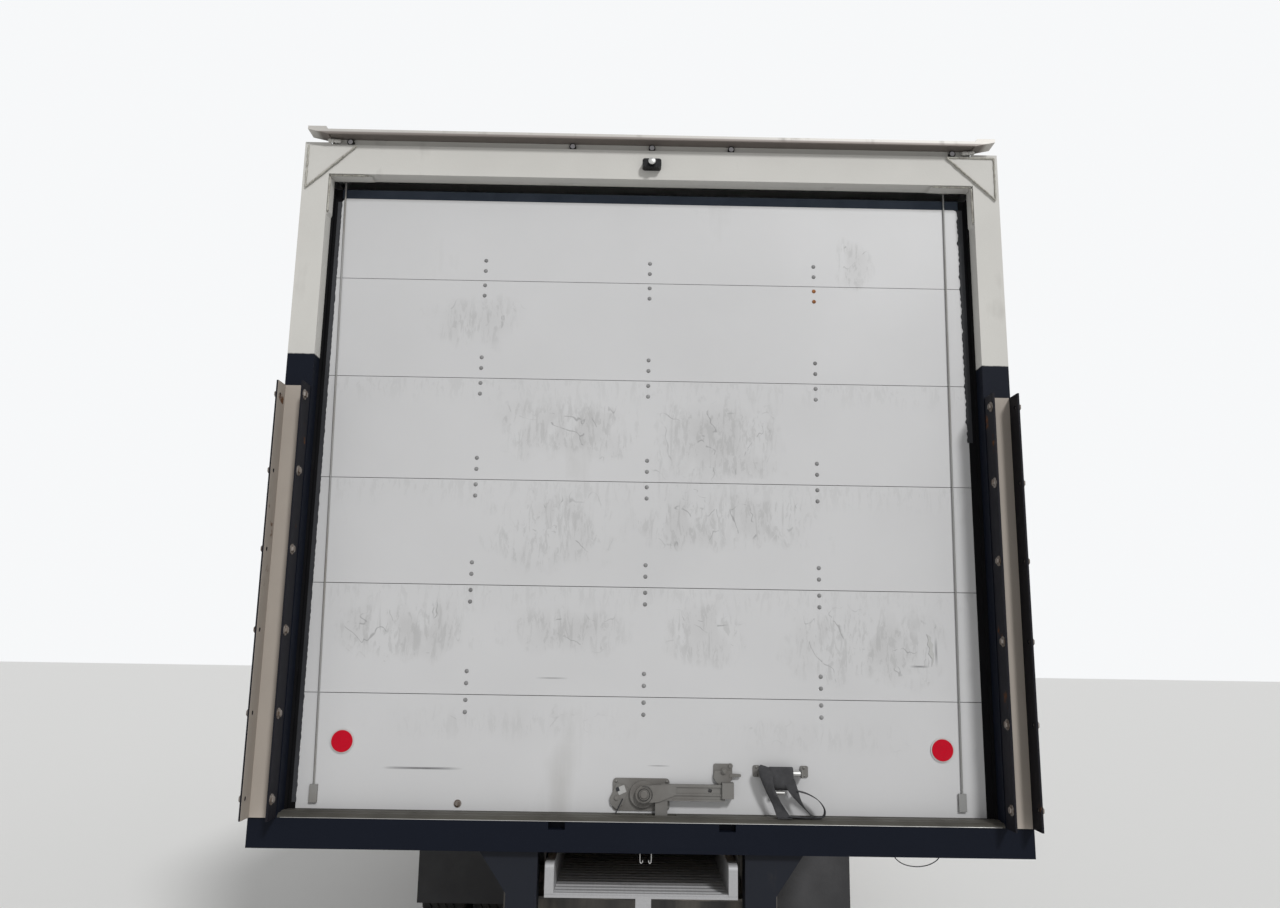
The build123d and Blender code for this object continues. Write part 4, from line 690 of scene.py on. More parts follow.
arms, blades = [], []
for x in (-0.66, 0.10):
    z = screen_foot_z + 0.01
    for runs, bends in ((arms, ((0, 0, 0.012), (0.10, 0.04, 0.040), (0.30, 0.085, 0.034))),
                        (blades, ((0.02, 0.062, 0.016), (0.30, 0.080, 0.018), (0.58, 0.098, 0.016)))):
        runs.append([(x + aside, screen_y(z + rise) - off, z + rise) for aside, rise, off in bends])
tube("wiper_arms", arms, 0.0055, black_plastic)
tube("wiper_blades", blades, 0.0065, gasket_rubber)


def bare_plate(name, middle_x, y, middle_z):
    """A blank aluminium number plate with rolled edges, its face on one side of y."""
    bm = bmesh.new()
    half_x, half_z, thick = 0.1525, 0.076, 0.0015
    bmesh.ops.create_cube(bm, size=1, matrix=Matrix.Translation((middle_x, y, middle_z))
                          @ Matrix.Diagonal((2 * half_x, thick, 2 * half_z, 1)))
    upright = [edge for edge in bm.edges if abs((edge.verts[0].co - edge.verts[1].co).y) > thick / 2]
    bmesh.ops.bevel(bm, geom=upright, offset=0.012, segments=4, affect="EDGES")
    return finished(name, bm, plate_alloy, smooth=30)


plate_alloy = brushed("plate alloy", (0.55, 0.56, 0.56), (1, 1, 0.1), 0.4, (0.30, 0.27, 0.24), 0.4, 0.5)
bare_plate("front_plate", 0, bumper_front - 0.003, 0.495)
guard_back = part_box("underride_guard")[1].y
bare_plate("rear_plate", 0, guard_back + 0.001, 0.520)
for name, y, z, facing in (("plate_screws", guard_back + 0.002, 0.520, 1),
                           ("front_plate_screws", bumper_front - 0.004, 0.545, -1)):
    heads(name, [(x, y, z) for x in (-0.089, 0.089)], (0, facing, 0), 0.006, 0.004, bolt_steel)

# Seats. A driver's seat and a bench: woven cloth over foam, sewn in channels and crowned by the
# foam, on painted steel boxes, with tube uprights that carry the backs.
def woven_cloth():
    """Dark grey woven seat cloth, faded where people sit."""
    made, tree, into = shader("seat cloth", Specular_IOR_Level=0.2, Roughness=0.85, Sheen_Weight=0.3)
    place = on_piece(tree)
    warp = add(tree, "ShaderNodeTexWave", {"Vector": place, "Scale": 170.0}, bands_direction="X").outputs[1]
    weft = add(tree, "ShaderNodeTexWave", {"Vector": place, "Scale": 170.0},
               bands_direction="DIAGONAL").outputs[1]
    weave = sums(tree, "MULTIPLY", warp, weft)
    faded = cloudy(tree, place, 4.0, 5.0)
    tone = sums(tree, "ADD", sums(tree, "MULTIPLY", weave, 0.4), sums(tree, "MULTIPLY", faded, 0.6))
    tree.links.new(mixed(tree, tone, (0.028, 0.030, 0.036, 1), (0.12, 0.125, 0.14, 1)), into["Base Color"])
    embossed(tree, into, weave, 0.4, 0.0008)
    return made


seat_cloth = woven_cloth()
foam_swell, foam_steps, foam_grid = 0.024, 20, 0.012
channel_deep, channel_half = 0.007, 0.014


def cushion(name, profile, x, seams, lying):
    """A seat pad from its (y, z) profile, swollen by foam, channels sewn into its top or its front."""
    bm = bmesh.new()
    ends = [[bm.verts.new((x_end, y, z)) for y, z in profile] for x_end in x]
    bm.faces.new(ends[0])
    bm.faces.new(ends[1])
    skin(bm, ends)
    bmesh.ops.bevel(bm, geom=bm.edges[:], offset=0.022, segments=3, affect="EDGES")
    made = finished(name, bm, seat_cloth, smooth=60)
    remesh = made.modifiers.new("even", "REMESH")
    remesh.mode, remesh.voxel_size, remesh.use_smooth_shade = "VOXEL", foam_grid, True
    plain = settled(made)
    cloth = made.modifiers.new("foam", "CLOTH")
    cloth.settings.use_pressure = True
    cloth.settings.uniform_pressure_force = 4
    cloth.settings.effector_weights.gravity = 0
    for step in range(1, foam_steps + 1):
        scene.frame_set(step)
    swollen = baked(made)
    made.modifiers.clear()
    scene.frame_set(1)
    for vertex, full in zip(plain.vertices, swollen.vertices):
        moved = full.co - vertex.co
        vertex.co = vertex.co + moved * min(1.0, foam_swell / max(moved.length, 1e-6))
    for vertex in plain.vertices:
        deep = sum(channel_deep * max(0.0, 1 - abs(vertex.co.x - seam) / channel_half) ** 2
                   for seam in seams)
        pull = Vector((0, 0, -deep) if lying else (0, deep, 0))
        if (vertex.normal.z if lying else -vertex.normal.y) > 0.3:
            vertex.co = vertex.co + pull
    finer = made.modifiers.new("finer", "SUBSURF")
    finer.levels = finer.render_levels = 1
    plain = settled(made)
    plain.materials.clear()
    plain.materials.append(seat_cloth)
    plain.shade_smooth()
    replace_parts(made, "cab_seats")
    return made


seat_steel = weathered("seat steel", (0.03, 0.03, 0.032), (0.15, 0.13, 0.11), 0.4, 9, 0.2, 0.5)
bm = bmesh.new()
for label, low, high in (("driver", 0.200, 0.740), ("bench", -0.880, 0.060)):
    width = high - low
    count = 4 if label == "driver" else 8
    seams = [low + width * i / count for i in range(1, count)]
    x = (low + 0.014, high - 0.014)
    for piece, profile in (
            ("cushion", ((0.668, 1.232), (0.668, 1.330), (0.560, 1.338), (0.228, 1.318), (0.228, 1.232))),
            ("back", ((0.190, 1.262), (0.212, 1.345), (0.178, 1.944), (0.092, 1.944), (0.106, 1.262)))):
        cushion(f"seat_{piece}_{label}", [(cab_back - y, z) for y, z in profile], x, seams,
                lying=piece == "cushion")
    box_place = Matrix.Translation(((low + high) / 2, cab_back - 0.450, 1.112))
    bmesh.ops.create_cube(bm, size=1, matrix=box_place @ Matrix.Diagonal((width - 0.08, 0.380, 0.222, 1)))
bmesh.ops.bevel(bm, geom=bm.edges[:], offset=0.012, segments=3, affect="EDGES")
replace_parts(finished("seat_boxes", bm, seat_steel, smooth=40), "cab_seats")
upright = ((0.275, 1.195), (0.175, 1.195), (0.146, 1.230), (0.146, 1.560))
tube("seat_uprights", [[(x, cab_back - y, z) for y, z in upright]
                       for x in (0.280, 0.660, -0.800, -0.410, -0.020)], 0.014, seat_steel)

# Van body. Prepainted aluminium side sheets riveted to posts, a moulded roof sheet, extruded rails,
# and an oak floor laid between them.
body_white = weathered("body white", (0.64, 0.645, 0.64), (0.40, 0.385, 0.35), 0.30, 1.3, 1.5, 0.33)
coat(body_white, "cargo_walls", "cargo_nose", "cargo_roof")


def oak_floor():
    """Laminated hardwood planks, dry and scuffed, with dark joints."""
    made, tree, into = shader("oak floor", Specular_IOR_Level=0.3)
    place = on_piece(tree)
    boards = add(tree, "ShaderNodeTexWave", {"Vector": place, "Scale": 1.6}, bands_direction="X",
                 wave_profile="SAW").outputs[1]
    grain = cloudy(tree, stretched(tree, place, (30.0, 1.5, 30.0)), 3.0, 8.0)
    wood = mixed(tree, grain, (0.16, 0.10, 0.055, 1), (0.38, 0.27, 0.16, 1))
    joint = between(tree, boards, 0.04, 0.0)
    tree.links.new(mixed(tree, joint, wood, (0.03, 0.02, 0.015, 1)), into["Base Color"])
    tree.links.new(plus(tree, 0.55, grain, 0.3), into["Roughness"])
    embossed(tree, into, grain, 0.2, 0.001)
    return made


coat(oak_floor(), "cargo_floor")
body_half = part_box("cargo_walls")[1].x
body_front, wall_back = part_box("cargo_nose")[0].y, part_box("cargo_walls")[1].y
wall_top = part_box("cargo_walls")[1].z
rivet_alloy = weathered("rivet alloy", (0.60, 0.61, 0.60), (0.30, 0.27, 0.22), 0.4, 20, 1.3, 0.4)
post_pitch, rivet_pitch = 0.406, 0.075
panel_face, rail_rivet_pitch = body_half - 0.004, 0.102
for side, sign in both_sides:
    places = []
    y = wall_back - 0.10
    while y > body_front + 0.15:
        z = deck + 0.08
        while z < wall_top - 0.12:
            places += [(sign * panel_face, y - 0.012, z), (sign * panel_face, y + 0.012, z + rivet_pitch / 2)]
            z += rivet_pitch
        y -= post_pitch
    heads(f"post_rivets_{side}", places, (sign, 0, 0), 0.0065, 0.0028, rivet_alloy, rounded=True)
    places = []
    y = wall_back - 0.05
    while y > body_front + 0.12:
        places += [(sign * body_half, y, deck - 0.03), (sign * body_half, y, wall_top - 0.032)]
        y -= rail_rivet_pitch
    heads(f"rail_rivets_{side}", places, (sign, 0, 0), 0.0075, 0.0035, rivet_alloy, rounded=True)
places = [(x, body_front, z) for x in (-0.80, -0.40, 0, 0.40, 0.80)
          for z in [deck + 0.02 + rivet_pitch * i for i in range(28)]]
heads("nose_rivets", places, (0, -1, 0), 0.0065, 0.0028, rivet_alloy, rounded=True)

# Rear frame and lift rails. Welded tube, cream above the old lift's reach and dark blue below it;
# the bolted-on channel rails have beige webs and greasy, rusting flanges.
cream, navy, beige = (0.60, 0.59, 0.56), (0.0055, 0.0075, 0.014), (0.42, 0.375, 0.33)
paint_line = deck + 1.474


def rust_group():
    """Rust: where it has come through, its colour and its rough, lifted surface."""
    tree, given, out = shader_group("rust", {"Under": "Color", "Amount": "Float", "Scale": "Float"},
                                    {"Color": "Color", "Mask": "Float"})
    place = on_piece(tree)
    patches = cloudy(tree, place, given["Scale"], 9.0, Roughness=0.65)
    tone = cloudy(tree, place, 90.0, 4.0)
    edge = sums(tree, "SUBTRACT", 0.68, sums(tree, "MULTIPLY", given["Amount"], 0.3))
    mask = between(tree, patches, edge, sums(tree, "ADD", edge, 0.05))
    rust = mixed(tree, tone, (0.05, 0.026, 0.016, 1), (0.19, 0.085, 0.04, 1))
    tree.links.new(mixed(tree, mask, given["Under"], rust), out["Color"])
    tree.links.new(mask, out["Mask"])
    return tree


rust_spread = rust_group()


def rear_paint(name, upper, lower, rust, web=None):
    """Two paints that meet at a level edge; a web colour shows on a channel's inner face."""
    made, tree, into = shader(name, Specular_IOR_Level=0.09)
    place = on_piece(tree)
    parts = split(tree, place)
    level_z = plus(tree, parts["Z"], cloudy(tree, place, 40.0), 0.006)
    high = filmed(tree, upper, 0.25, 4.0, 0.42)
    low = filmed(tree, lower, 0.04, 6.0, 0.5, (0.05, 0.05, 0.06))
    share = between(tree, level_z, paint_line, paint_line + 0.004)
    colour = mixed(tree, share, low["Color"], high["Color"])
    if web:
        across = sums(tree, "ABSOLUTE", parts["X"], 0.0)
        inside = sums(tree, "MULTIPLY", sums(tree, "GREATER_THAN", across, web_near),
                      sums(tree, "LESS_THAN", parts["X"], web_left))
        inside = sums(tree, "MULTIPLY", inside, sums(tree, "GREATER_THAN", parts["X"], web_right))
        colour = mixed(tree, inside, colour, filmed(tree, web, 0.30, 7.0, 0.5, (0.30, 0.27, 0.23))["Color"])
        from_middle = sums(tree, "ABSOLUTE", sums(tree, "SUBTRACT", across, rail_middle), 0.0)
        edge = between(tree, from_middle, 0.037, 0.030)
        from_bolt = sums(tree, "PINGPONG", sums(tree, "SUBTRACT", parts["Z"], rail_bolt_foot),
                         rail_bolt_pitch / 2)
        by_bolt = sums(tree, "MULTIPLY", between(tree, from_bolt, 0.040, 0.010), 0.10)
        rust = sums(tree, "SUBTRACT", sums(tree, "ADD", rust, by_bolt), sums(tree, "MULTIPLY", edge, 0.5))
    worn = add(tree, "ShaderNodeGroup", {"Under": colour, "Amount": rust, "Scale": 9.0},
               node_tree=rust_spread).outputs
    tree.links.new(worn["Color"], into["Base Color"])
    tree.links.new(sums(tree, "MINIMUM", plus(tree, low["Roughness"], worn["Mask"], 0.4), 0.95),
                   into["Roughness"])
    embossed(tree, into, plus(tree, low["Height"], worn["Mask"], 1.5), 0.18, 0.0015)
    return made


rail_bolt_foot, rail_bolt_pitch, rail_middle = deck + 0.047, 0.254, 1.1755
web_near, web_left, web_right = 1.1385, 1.2135, -1.2125
frame_paint = rear_paint("rear frame paint", cream, navy, -0.2)
coat(frame_paint, "rear_frame")


def rail_alloy():
    """The rain rail: bleached paint on its edge, and painted shade in a dark taupe on its underside."""
    made, tree, into = shader("rain rail", Metallic=0.2)
    film = filmed(tree, (0.52, 0.50, 0.47), 0.3, 9.0, 0.45)
    height = split(tree, on_piece(tree))["Z"]
    # Below the drip edge the rail is a dark taupe: painted shade on its overhanging underside.
    upper = between(tree, height, drip_edge, drip_edge + 0.004)
    tree.links.new(mixed(tree, upper, (0.19, 0.165, 0.15, 1), film["Color"]), into["Base Color"])
    tree.links.new(film["Roughness"], into["Roughness"])
    embossed(tree, into, film["Height"], 0.1, 0.001)
    return made


drip_edge = deck + 2.2625
coat(rail_alloy(), "drip_rail")
coat(rear_paint("lift rail paint", (0.016, 0.015, 0.017), (0.012, 0.012, 0.016), 0.08, web=beige),
     "lift_rails")
face, door_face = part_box("rear_frame")[1].y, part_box("door_panels")[1].y
greased_steel = weathered("greased bolt steel", (0.34, 0.32, 0.30), (0.10, 0.07, 0.05), 0.5, 60, 0.1, 0.5,
                          bump=0.3, Metallic=0.4)
rail_bolt_z = [rail_bolt_foot + rail_bolt_pitch * i for i in range(6)]
rail_bolt_y = face + 0.050
for side, sign in both_sides:
    for flange, x, facing in (("inner", 1.132, -sign), ("outer", 1.219, sign)):
        heads(f"lift_bolts_{flange}_{side}", [(sign * x, rail_bolt_y, z) for z in rail_bolt_z],
              (facing, 0, 0), 0.0125, 0.009, greased_steel)

# Weld seams. Hand-laid beads where the corner gussets and the posts meet the header, painted over,
# with lumps of sealant where the rain rail's ends sit on the frame.
def bead(name, runs, radius, finish, body="truck", ripple=0.0065):
    """Weld beads along runs of points: a rod whose thickness ripples as the puddle froze."""
    bm = bmesh.new()
    sides = 8
    for run in runs:
        points = [Vector(p) for p in run]
        lengths = [(b - a).length for a, b in zip(points, points[1:])]
        count = max(2, int(sum(lengths) / (ripple / 2)))
        rings = []
        for step in range(count + 1):
            left_over = sum(lengths) * step / count
            leg = 0
            while leg < len(lengths) - 1 and left_over > lengths[leg]:
                left_over -= lengths[leg]
                leg += 1
            along = (points[leg + 1] - points[leg]).normalized()
            centre = points[leg] + along * left_over
            side = along.cross(Vector((0, 1, 0)) if abs(along.y) < 0.9 else Vector((1, 0, 0))).normalized()
            thick = radius * (0.75 + 0.3 * (step % 2) + 0.5 * noise.noise(centre * 60))
            rings.append([bm.verts.new(centre + (cos(2 * pi * i / sides) * side
                                                 + sin(2 * pi * i / sides) * side.cross(along)) * thick)
                          for i in range(sides)])
        skin(bm, rings)
        bm.faces.new(rings[0])
        bm.faces.new(rings[-1])
    return finished(name, bm, finish, body, smooth=60)


gusset_in, gusset_out, gusset_top, gusset_foot = 1.039, 1.205, deck + 2.229, deck + 2.072
seams, plate_seams = [], []
for sign in (1, -1):
    for start, end in (((gusset_in, gusset_top), (gusset_out, gusset_foot)),
                       ((gusset_out, gusset_foot), (gusset_out, gusset_top))):
        seams.append([(sign * x, face + 0.002, z) for x, z in (start, end)])
    for start, end in (((0.990, deck + 2.124), (1.122, deck + 2.124)),
                       ((1.126, deck + 2.118), (1.126, deck + 1.992))):
        plate_seams.append([(sign * x, face - 0.012, z) for x, z in (start, end)])
seams.append([(-gusset_out, face + 0.002, gusset_top), (-gusset_in, face + 0.002, gusset_top)])
weld_paint = weathered("weld paint", (0.46, 0.45, 0.40), (0.16, 0.14, 0.12), 0.75, 60, 0.2, 0.5)
bead("corner_welds", seams, 0.0034, weld_paint)
bead("plate_welds", plate_seams, 0.0042, weld_paint, ripple=0.009)
lumps = [(sign * x, face - 0.006, deck + z) for sign in (1, -1)
         for x, z in ((1.124, 2.2515), (1.112, 2.2505), (1.134, 2.2530), (1.103, 2.2500))]
heads("rail_sealant", lumps, (0, 1, 0.4), 0.009, 0.007, frame_paint, rounded=True)

# Roll-up door. Six flat laminated panels in grey white, smudged by hands and freight, hinged inside
# by rivets that show in three columns at each joint.
smudges = [(0.265, 1.249, 0.21, 0.10, 0.5), (-0.246, 1.215, 0.20, 0.13, 0.55),
           (0.322, 0.898, 0.19, 0.12, 0.45), (-0.246, 0.941, 0.30, 0.09, 0.5),
           (0.785, 0.561, 0.20, 0.09, 0.5), (0.261, 0.570, 0.19, 0.07, 0.4),
           (-0.198, 0.569, 0.13, 0.10, 0.4), (-0.723, 0.537, 0.24, 0.11, 0.5),
           (-0.724, 1.853, 0.06, 0.08, 0.45), (0.45, 0.27, 0.40, 0.05, 0.12),
           (-0.55, 0.24, 0.30, 0.05, 0.12), (0.60, 1.62, 0.16, 0.08, 0.30)]
scrapes = [(0.707, 0.128, 0.115, 0.004, 0.9), (-0.958, 0.519, 0.005, 0.045, 0.6),
           (-0.049, 0.146, 0.035, 0.002, 0.6), (-0.90, 0.47, 0.03, 0.004, 0.7),
           (0.30, 0.415, 0.05, 0.003, 0.5)]


def smudge_group():
    """One soft-edged patch on the door: 1 at its middle, 0 outside, broken up by noise."""
    tree, given, out = shader_group(
        "smudge", {"Middle": "Vector", "Half size": "Vector", "Strength": "Float", "Break-up": "Float"},
        {"Mask": "Float"})
    place = on_piece(tree)
    away = place
    for operation, other in (("SUBTRACT", given["Middle"]), ("DIVIDE", given["Half size"]),
                             ("MULTIPLY", (1, 0, 1))):
        away = add(tree, "ShaderNodeVectorMath", {0: away, 1: other}, operation=operation).outputs[0]
    squared = add(tree, "ShaderNodeVectorMath", {0: away, 1: away}, operation="MULTIPLY").outputs[0]
    boxy = add(tree, "ShaderNodeVectorMath", {0: squared}, operation="LENGTH").outputs["Value"]
    far = sums(tree, "POWER", boxy, 0.5)
    torn = cloudy(tree, place, 14.0, 7.0)
    reach = plus(tree, far, sums(tree, "SUBTRACT", torn, 0.5), given["Break-up"])
    soft = between(tree, reach, 1.15, 0.1)
    tree.links.new(sums(tree, "MULTIPLY", soft, given["Strength"]), out["Mask"])
    return tree


smudge = smudge_group()


def scuff_group():
    """Fine torn scuffs: 1 along short streaks that lean one way."""
    tree, given, out = shader_group(
        "scuffs", {"Lean": "Vector", "Stretch": "Vector", "Scale": "Float", "Share": "Float"},
        {"Mask": "Float"})
    place = on_piece(tree)
    turned_place = add(tree, "ShaderNodeMapping", {"Vector": place, "Rotation": given["Lean"],
                                                   "Scale": given["Stretch"]}).outputs[0]
    torn = cloudy(tree, turned_place, given["Scale"], 9.0, Roughness=0.68, Distortion=0.6)
    edge = sums(tree, "SUBTRACT", 0.78, sums(tree, "MULTIPLY", given["Share"], 0.4))
    tree.links.new(between(tree, torn, edge, sums(tree, "ADD", edge, 0.05)), out["Mask"])
    return tree


scuffs = scuff_group()


def door_paint():
    """The door's paint with its grey smudges, fine scuffs and dark scrapes, and a little film."""
    made, tree, into = shader("door paint")
    film = filmed(tree, (0.565, 0.565, 0.57), 0.16, 1.8, 0.36)
    masks = []
    for patches, break_up in ((smudges, 1.6), (scrapes, 0.5)):
        masks.append(highest(tree, [
            add(tree, "ShaderNodeGroup",
                {"Middle": (x, 0, deck + z), "Half size": (half_x, 1, half_z), "Strength": strength,
                 "Break-up": break_up}, node_tree=smudge).outputs["Mask"]
            for x, z, half_x, half_z, strength in patches]))
    fine = [add(tree, "ShaderNodeGroup",
                {"Lean": (0, lean, 0), "Stretch": (1.0, 1.0, squeeze), "Scale": scale, "Share": share},
                node_tree=scuffs).outputs["Mask"]
            for lean, squeeze, scale, share in ((0.12, 0.30, 48.0, 0.60), (-0.75, 0.22, 38.0, 0.56),
                                                (1.25, 0.20, 30.0, 0.54))]
    place = on_piece(tree)
    height = split(tree, place)["Z"]
    under_joint = highest(tree, [sums(tree, "MULTIPLY", between(tree, height, joint - 0.10, joint - 0.03),
                                      sums(tree, "LESS_THAN", height, joint - 0.004))
                                 for joint in (deck + 0.713, deck + 1.065, deck + 1.418)])
    wide = between(tree, masks[0], 0.0, 0.22)
    worn = sums(tree, "MULTIPLY", highest(tree, fine),
                sums(tree, "MAXIMUM", wide, sums(tree, "MULTIPLY", under_joint, 0.5)))
    wipe = cloudy(tree, stretched(tree, place, (1.0, 1.0, 0.35)), 11.0, 9.0)
    haze = sums(tree, "MULTIPLY", masks[0], between(tree, wipe, 0.43, 0.50))
    arc = cloudy(tree, place, 6.0, 3.0, Distortion=0.5)
    broken = cloudy(tree, place, 22.0, 2.0)
    arcs = between(tree, sums(tree, "ABSOLUTE", sums(tree, "SUBTRACT", arc, 0.5), 0.0), 0.009, 0.003)
    arcs = sums(tree, "MULTIPLY", sums(tree, "MULTIPLY", arcs, between(tree, broken, 0.50, 0.56)), wide)
    hazed = mixed(tree, sums(tree, "MULTIPLY", haze, 0.85), film["Color"], (0.40, 0.395, 0.395, 1))
    streaked = mixed(tree, sums(tree, "MULTIPLY", worn, 0.26), hazed, (0.25, 0.25, 0.245, 1))
    greyed = mixed(tree, sums(tree, "MULTIPLY", arcs, 0.55), streaked, (0.20, 0.20, 0.20, 1))
    tree.links.new(mixed(tree, masks[1], greyed, (0.05, 0.05, 0.055, 1)), into["Base Color"])
    tree.links.new(film["Roughness"], into["Roughness"])
    embossed(tree, into, cloudy(tree, place, 3.0, 1.0), 0.1, 0.01)
    return made


coat(door_paint(), "door_panels")
door_rivet = weathered("door rivet", (0.30, 0.30, 0.30), (0.16, 0.16, 0.16), 0.2, 30, 0.1, 0.4)
rusted_rivet = weathered("rusted rivet", (0.42, 0.17, 0.05), (0.20, 0.08, 0.03), 0.6, 60, 0.1, 0.7)
joints_z = [deck + z for z in (0.359, 0.712, 1.065, 1.418, 1.771)]
rivet_rows = (0.074, 0.036, -0.017, -0.055)
sound, rusted = [], []
for z in joints_z:
    for x in (-0.577, 0, 0.577):
        for up_z in rivet_rows:
            spoiled = z == joints_z[-1] and x < 0 and up_z < 0
            (rusted if spoiled else sound).append((x, door_face, z + up_z))
heads("hinge_rivets", sound, (0, 1, 0), 0.0072, 0.0035, door_rivet, rounded=True)
heads("hinge_rivets_rusted", rusted, (0, 1, 0), 0.0072, 0.0035, rusted_rivet, rounded=True)
heads("panel_bolt", [(0.586, door_face, deck + 0.022)], (0, 1, 0), 0.009, 0.007, greased_steel)

# Door seals and cables. Black rubber at the door's sides, its outer lip torn, and a blue-grey vinyl
# flap over the head; galvanised lift cables run up from clips at the foot.
seal_rubber = grained("seal rubber", (0.012, 0.013, 0.016), 120.0)
door_half, door_top = 1.099, deck + 2.070


def seal_vinyl():
    """Black rubber at the door's sides and blue-grey vinyl over its head."""
    made, tree, into = shader("seal vinyl", Specular_IOR_Level=0.08)
    place = on_piece(tree)
    parts = split(tree, place)
    dust = cloudy(tree, place, 12.0, 6.0)
    head = sums(tree, "LESS_THAN", sums(tree, "ABSOLUTE", parts["X"], 0.0), door_half + 0.0002)
    vinyl = mixed(tree, dust, (0.02, 0.028, 0.042, 1), (0.06, 0.072, 0.095, 1))
    rubber_grey = mixed(tree, dust, (0.002, 0.002, 0.0025, 1), (0.008, 0.008, 0.009, 1))
    tree.links.new(mixed(tree, head, rubber_grey, vinyl), into["Base Color"])
    tree.links.new(plus(tree, 0.55, dust, 0.3), into["Roughness"])
    return made


coat(seal_vinyl(), "door_seals")


def torn_lip(name, sign, low, high, reach, deep):
    """The side seal's outer lip, torn to scallops where it laps over the door's edge."""
    bm = bmesh.new()
    pitch = 0.006
    steps = int((high - low) / pitch)
    rows = []
    for i in range(steps + 1):
        z = low + pitch * i
        scallop = abs(sin(i * 0.9)) * 0.5 + noise.noise(Vector((sign * 3, 0, z * 40))) * 0.9
        inner = door_half - reach - deep * scallop
        rows.append([bm.verts.new((sign * x, door_face + y, z))
                     for x, y in ((inner, 0.0012), (inner + 0.002, 0.0042), (door_half + 0.012, 0.0045),
                                  (door_half + 0.012, 0.0008))])
    skin(bm, rows)
    bm.faces.new(rows[0])
    bm.faces.new(rows[-1])
    return finished(name, bm, seal_rubber, smooth=40)


torn_lip("seal_lip_right", -1, deck + 1.22, door_top - 0.004, 0.004, 0.006)
torn_lip("seal_lip_left", 1, deck + 0.02, door_top - 0.012, 0.0005, 0.0025)
cable_steel = brushed("cable steel", (0.26, 0.26, 0.255), (1, 1, 6), 0.5, amount=0.5, metal=0.4)
coat(cable_steel, "door_cables")

# Latch, keeper and strap bracket. Zinc-plated pressings, worn and greasy, with a black nylon pull
# strap wrapped round the bracket's bar, and a flake of the door's skin torn up by its edge.
zinc = brushed("worn zinc", (0.17, 0.165, 0.155), (1, 1, 1), 0.5, (0.07, 0.055, 0.045), 0.7, 0.35)
coat(zinc, "door_hardware")
bright_zinc = brushed("bright zinc", (0.45, 0.45, 0.44), (1, 1, 1), 0.35, (0.15, 0.12, 0.10), 0.5, 0.7)


def plate(name, outline, low, high, finish, body="truck", bevel=0.001):
    """A thin flat piece that faces the rear: its (x, z) outline between two depths."""
    bm = bmesh.new()
    back = [bm.verts.new((x, low, z)) for x, z in outline]
    front = [bm.verts.new((x, high, z)) for x, z in outline]
    bm.faces.new(back)
    bm.faces.new(front)
    skin(bm, [back, front])
    bmesh.ops.bevel(bm, geom=bm.edges[:], offset=bevel, segments=2, affect="EDGES")
    return finished(name, bm, finish, body, smooth=40)


tear = [(-0.928, 0.575), (-0.934, 0.556), (-0.929, 0.542), (-0.938, 0.528), (-0.932, 0.512), (-0.944, 0.496),
        (-0.941, 0.470), (-0.948, 0.488), (-0.951, 0.509), (-0.945, 0.524), (-0.949, 0.541), (-0.941, 0.553),
        (-0.943, 0.566)]
patch = [(0.058, 0.088), (0.083, 0.078), (0.074, 0.056), (0.050, 0.066)]
slot = [(0.076, 0.082), (0.085, 0.078), (0.081, 0.066), (0.071, 0.070)]
# The striker slot is a thin black plate in the seal rubber: painted shade in the slot's opening.
for name, outline, low, high, finish, bevel in (
        ("skin_tear", tear, 0.0002, 0.0014, bright_zinc, 0.0002),
        ("striker_patch", patch, 0.0085, 0.0105, bright_zinc, 0.001),
        ("striker_slot_shade", slot, 0.0095, 0.0115, seal_rubber, 0.001)):
    plate(name, [(x, deck + z) for x, z in outline], door_face + low, door_face + high, finish, bevel=bevel)


def on_door(x, y, z):
    """A place counted from the middle of the door's foot, out from its face."""
    return x, door_face + y, deck + z


tube("striker_pin", [[on_door(0.062, 0.013, 0.046), on_door(0.084, 0.013, 0)]], 0.0017, seal_rubber,
     smooth=False)
pivot_x, pivot_z = -0.005, deck + 0.062
turned("pivot_head", [(0.0125, 0), (0.0125, 0.0015), (0.0105, 0.003), (0, 0.0032)],
       (pivot_x, door_face + 0.0358, pivot_z), (0, 1, 0), zinc)
heads("latch_rivets", [on_door(x, 0.004, z) for x, z in ((0.084, 0.098), (-0.078, 0.098), (-0.078, 0.018))],
      (0, 1, 0), 0.0055, 0.003, zinc, rounded=True)
cam_steel = grained("greased cam steel", (0.02, 0.02, 0.019), 200.0)
pivot_rings = []
for ring_radius, first, last, lift_y in ((0.0125, 0, 360, 0.0362), (0.0185, 0, 360, 0.0352),
                                         (0.0265, 80, 300, 0.0348)):
    turns = [radians(first + (last - first) * i / 40) for i in range(41)]
    pivot_rings.append([(pivot_x + ring_radius * cos(a), door_face + lift_y, pivot_z + ring_radius * sin(a))
                        for a in turns])
tube("pivot_grooves", pivot_rings, 0.0009, cam_steel)
heads("keeper_bolts", [on_door(-0.260, 0.0178, 0.135), on_door(-0.280, 0.004, 0.149)], (0, 1, 0), 0.0065,
      0.004, zinc)
heads("bracket_rivets", [on_door(x, 0.004, z) for x in (-0.3645, -0.517) for z in (0.123, 0.147)],
      (0, 1, 0), 0.0048, 0.003, zinc, rounded=True)
turned("bracket_sleeve", [(0.0086, 0), (0.0095, 0.001), (0.0095, 0.026), (0.0086, 0.027)],
       on_door(-0.502, 0.024, 0.131), (1, 0, 0), bright_zinc)
turned("bracket_rung", [(0.005, 0), (0.0062, 0.001), (0.0062, 0.037), (0.005, 0.038)],
       on_door(-0.451, 0.030, 0.073), (1, 0, 0), bright_zinc)


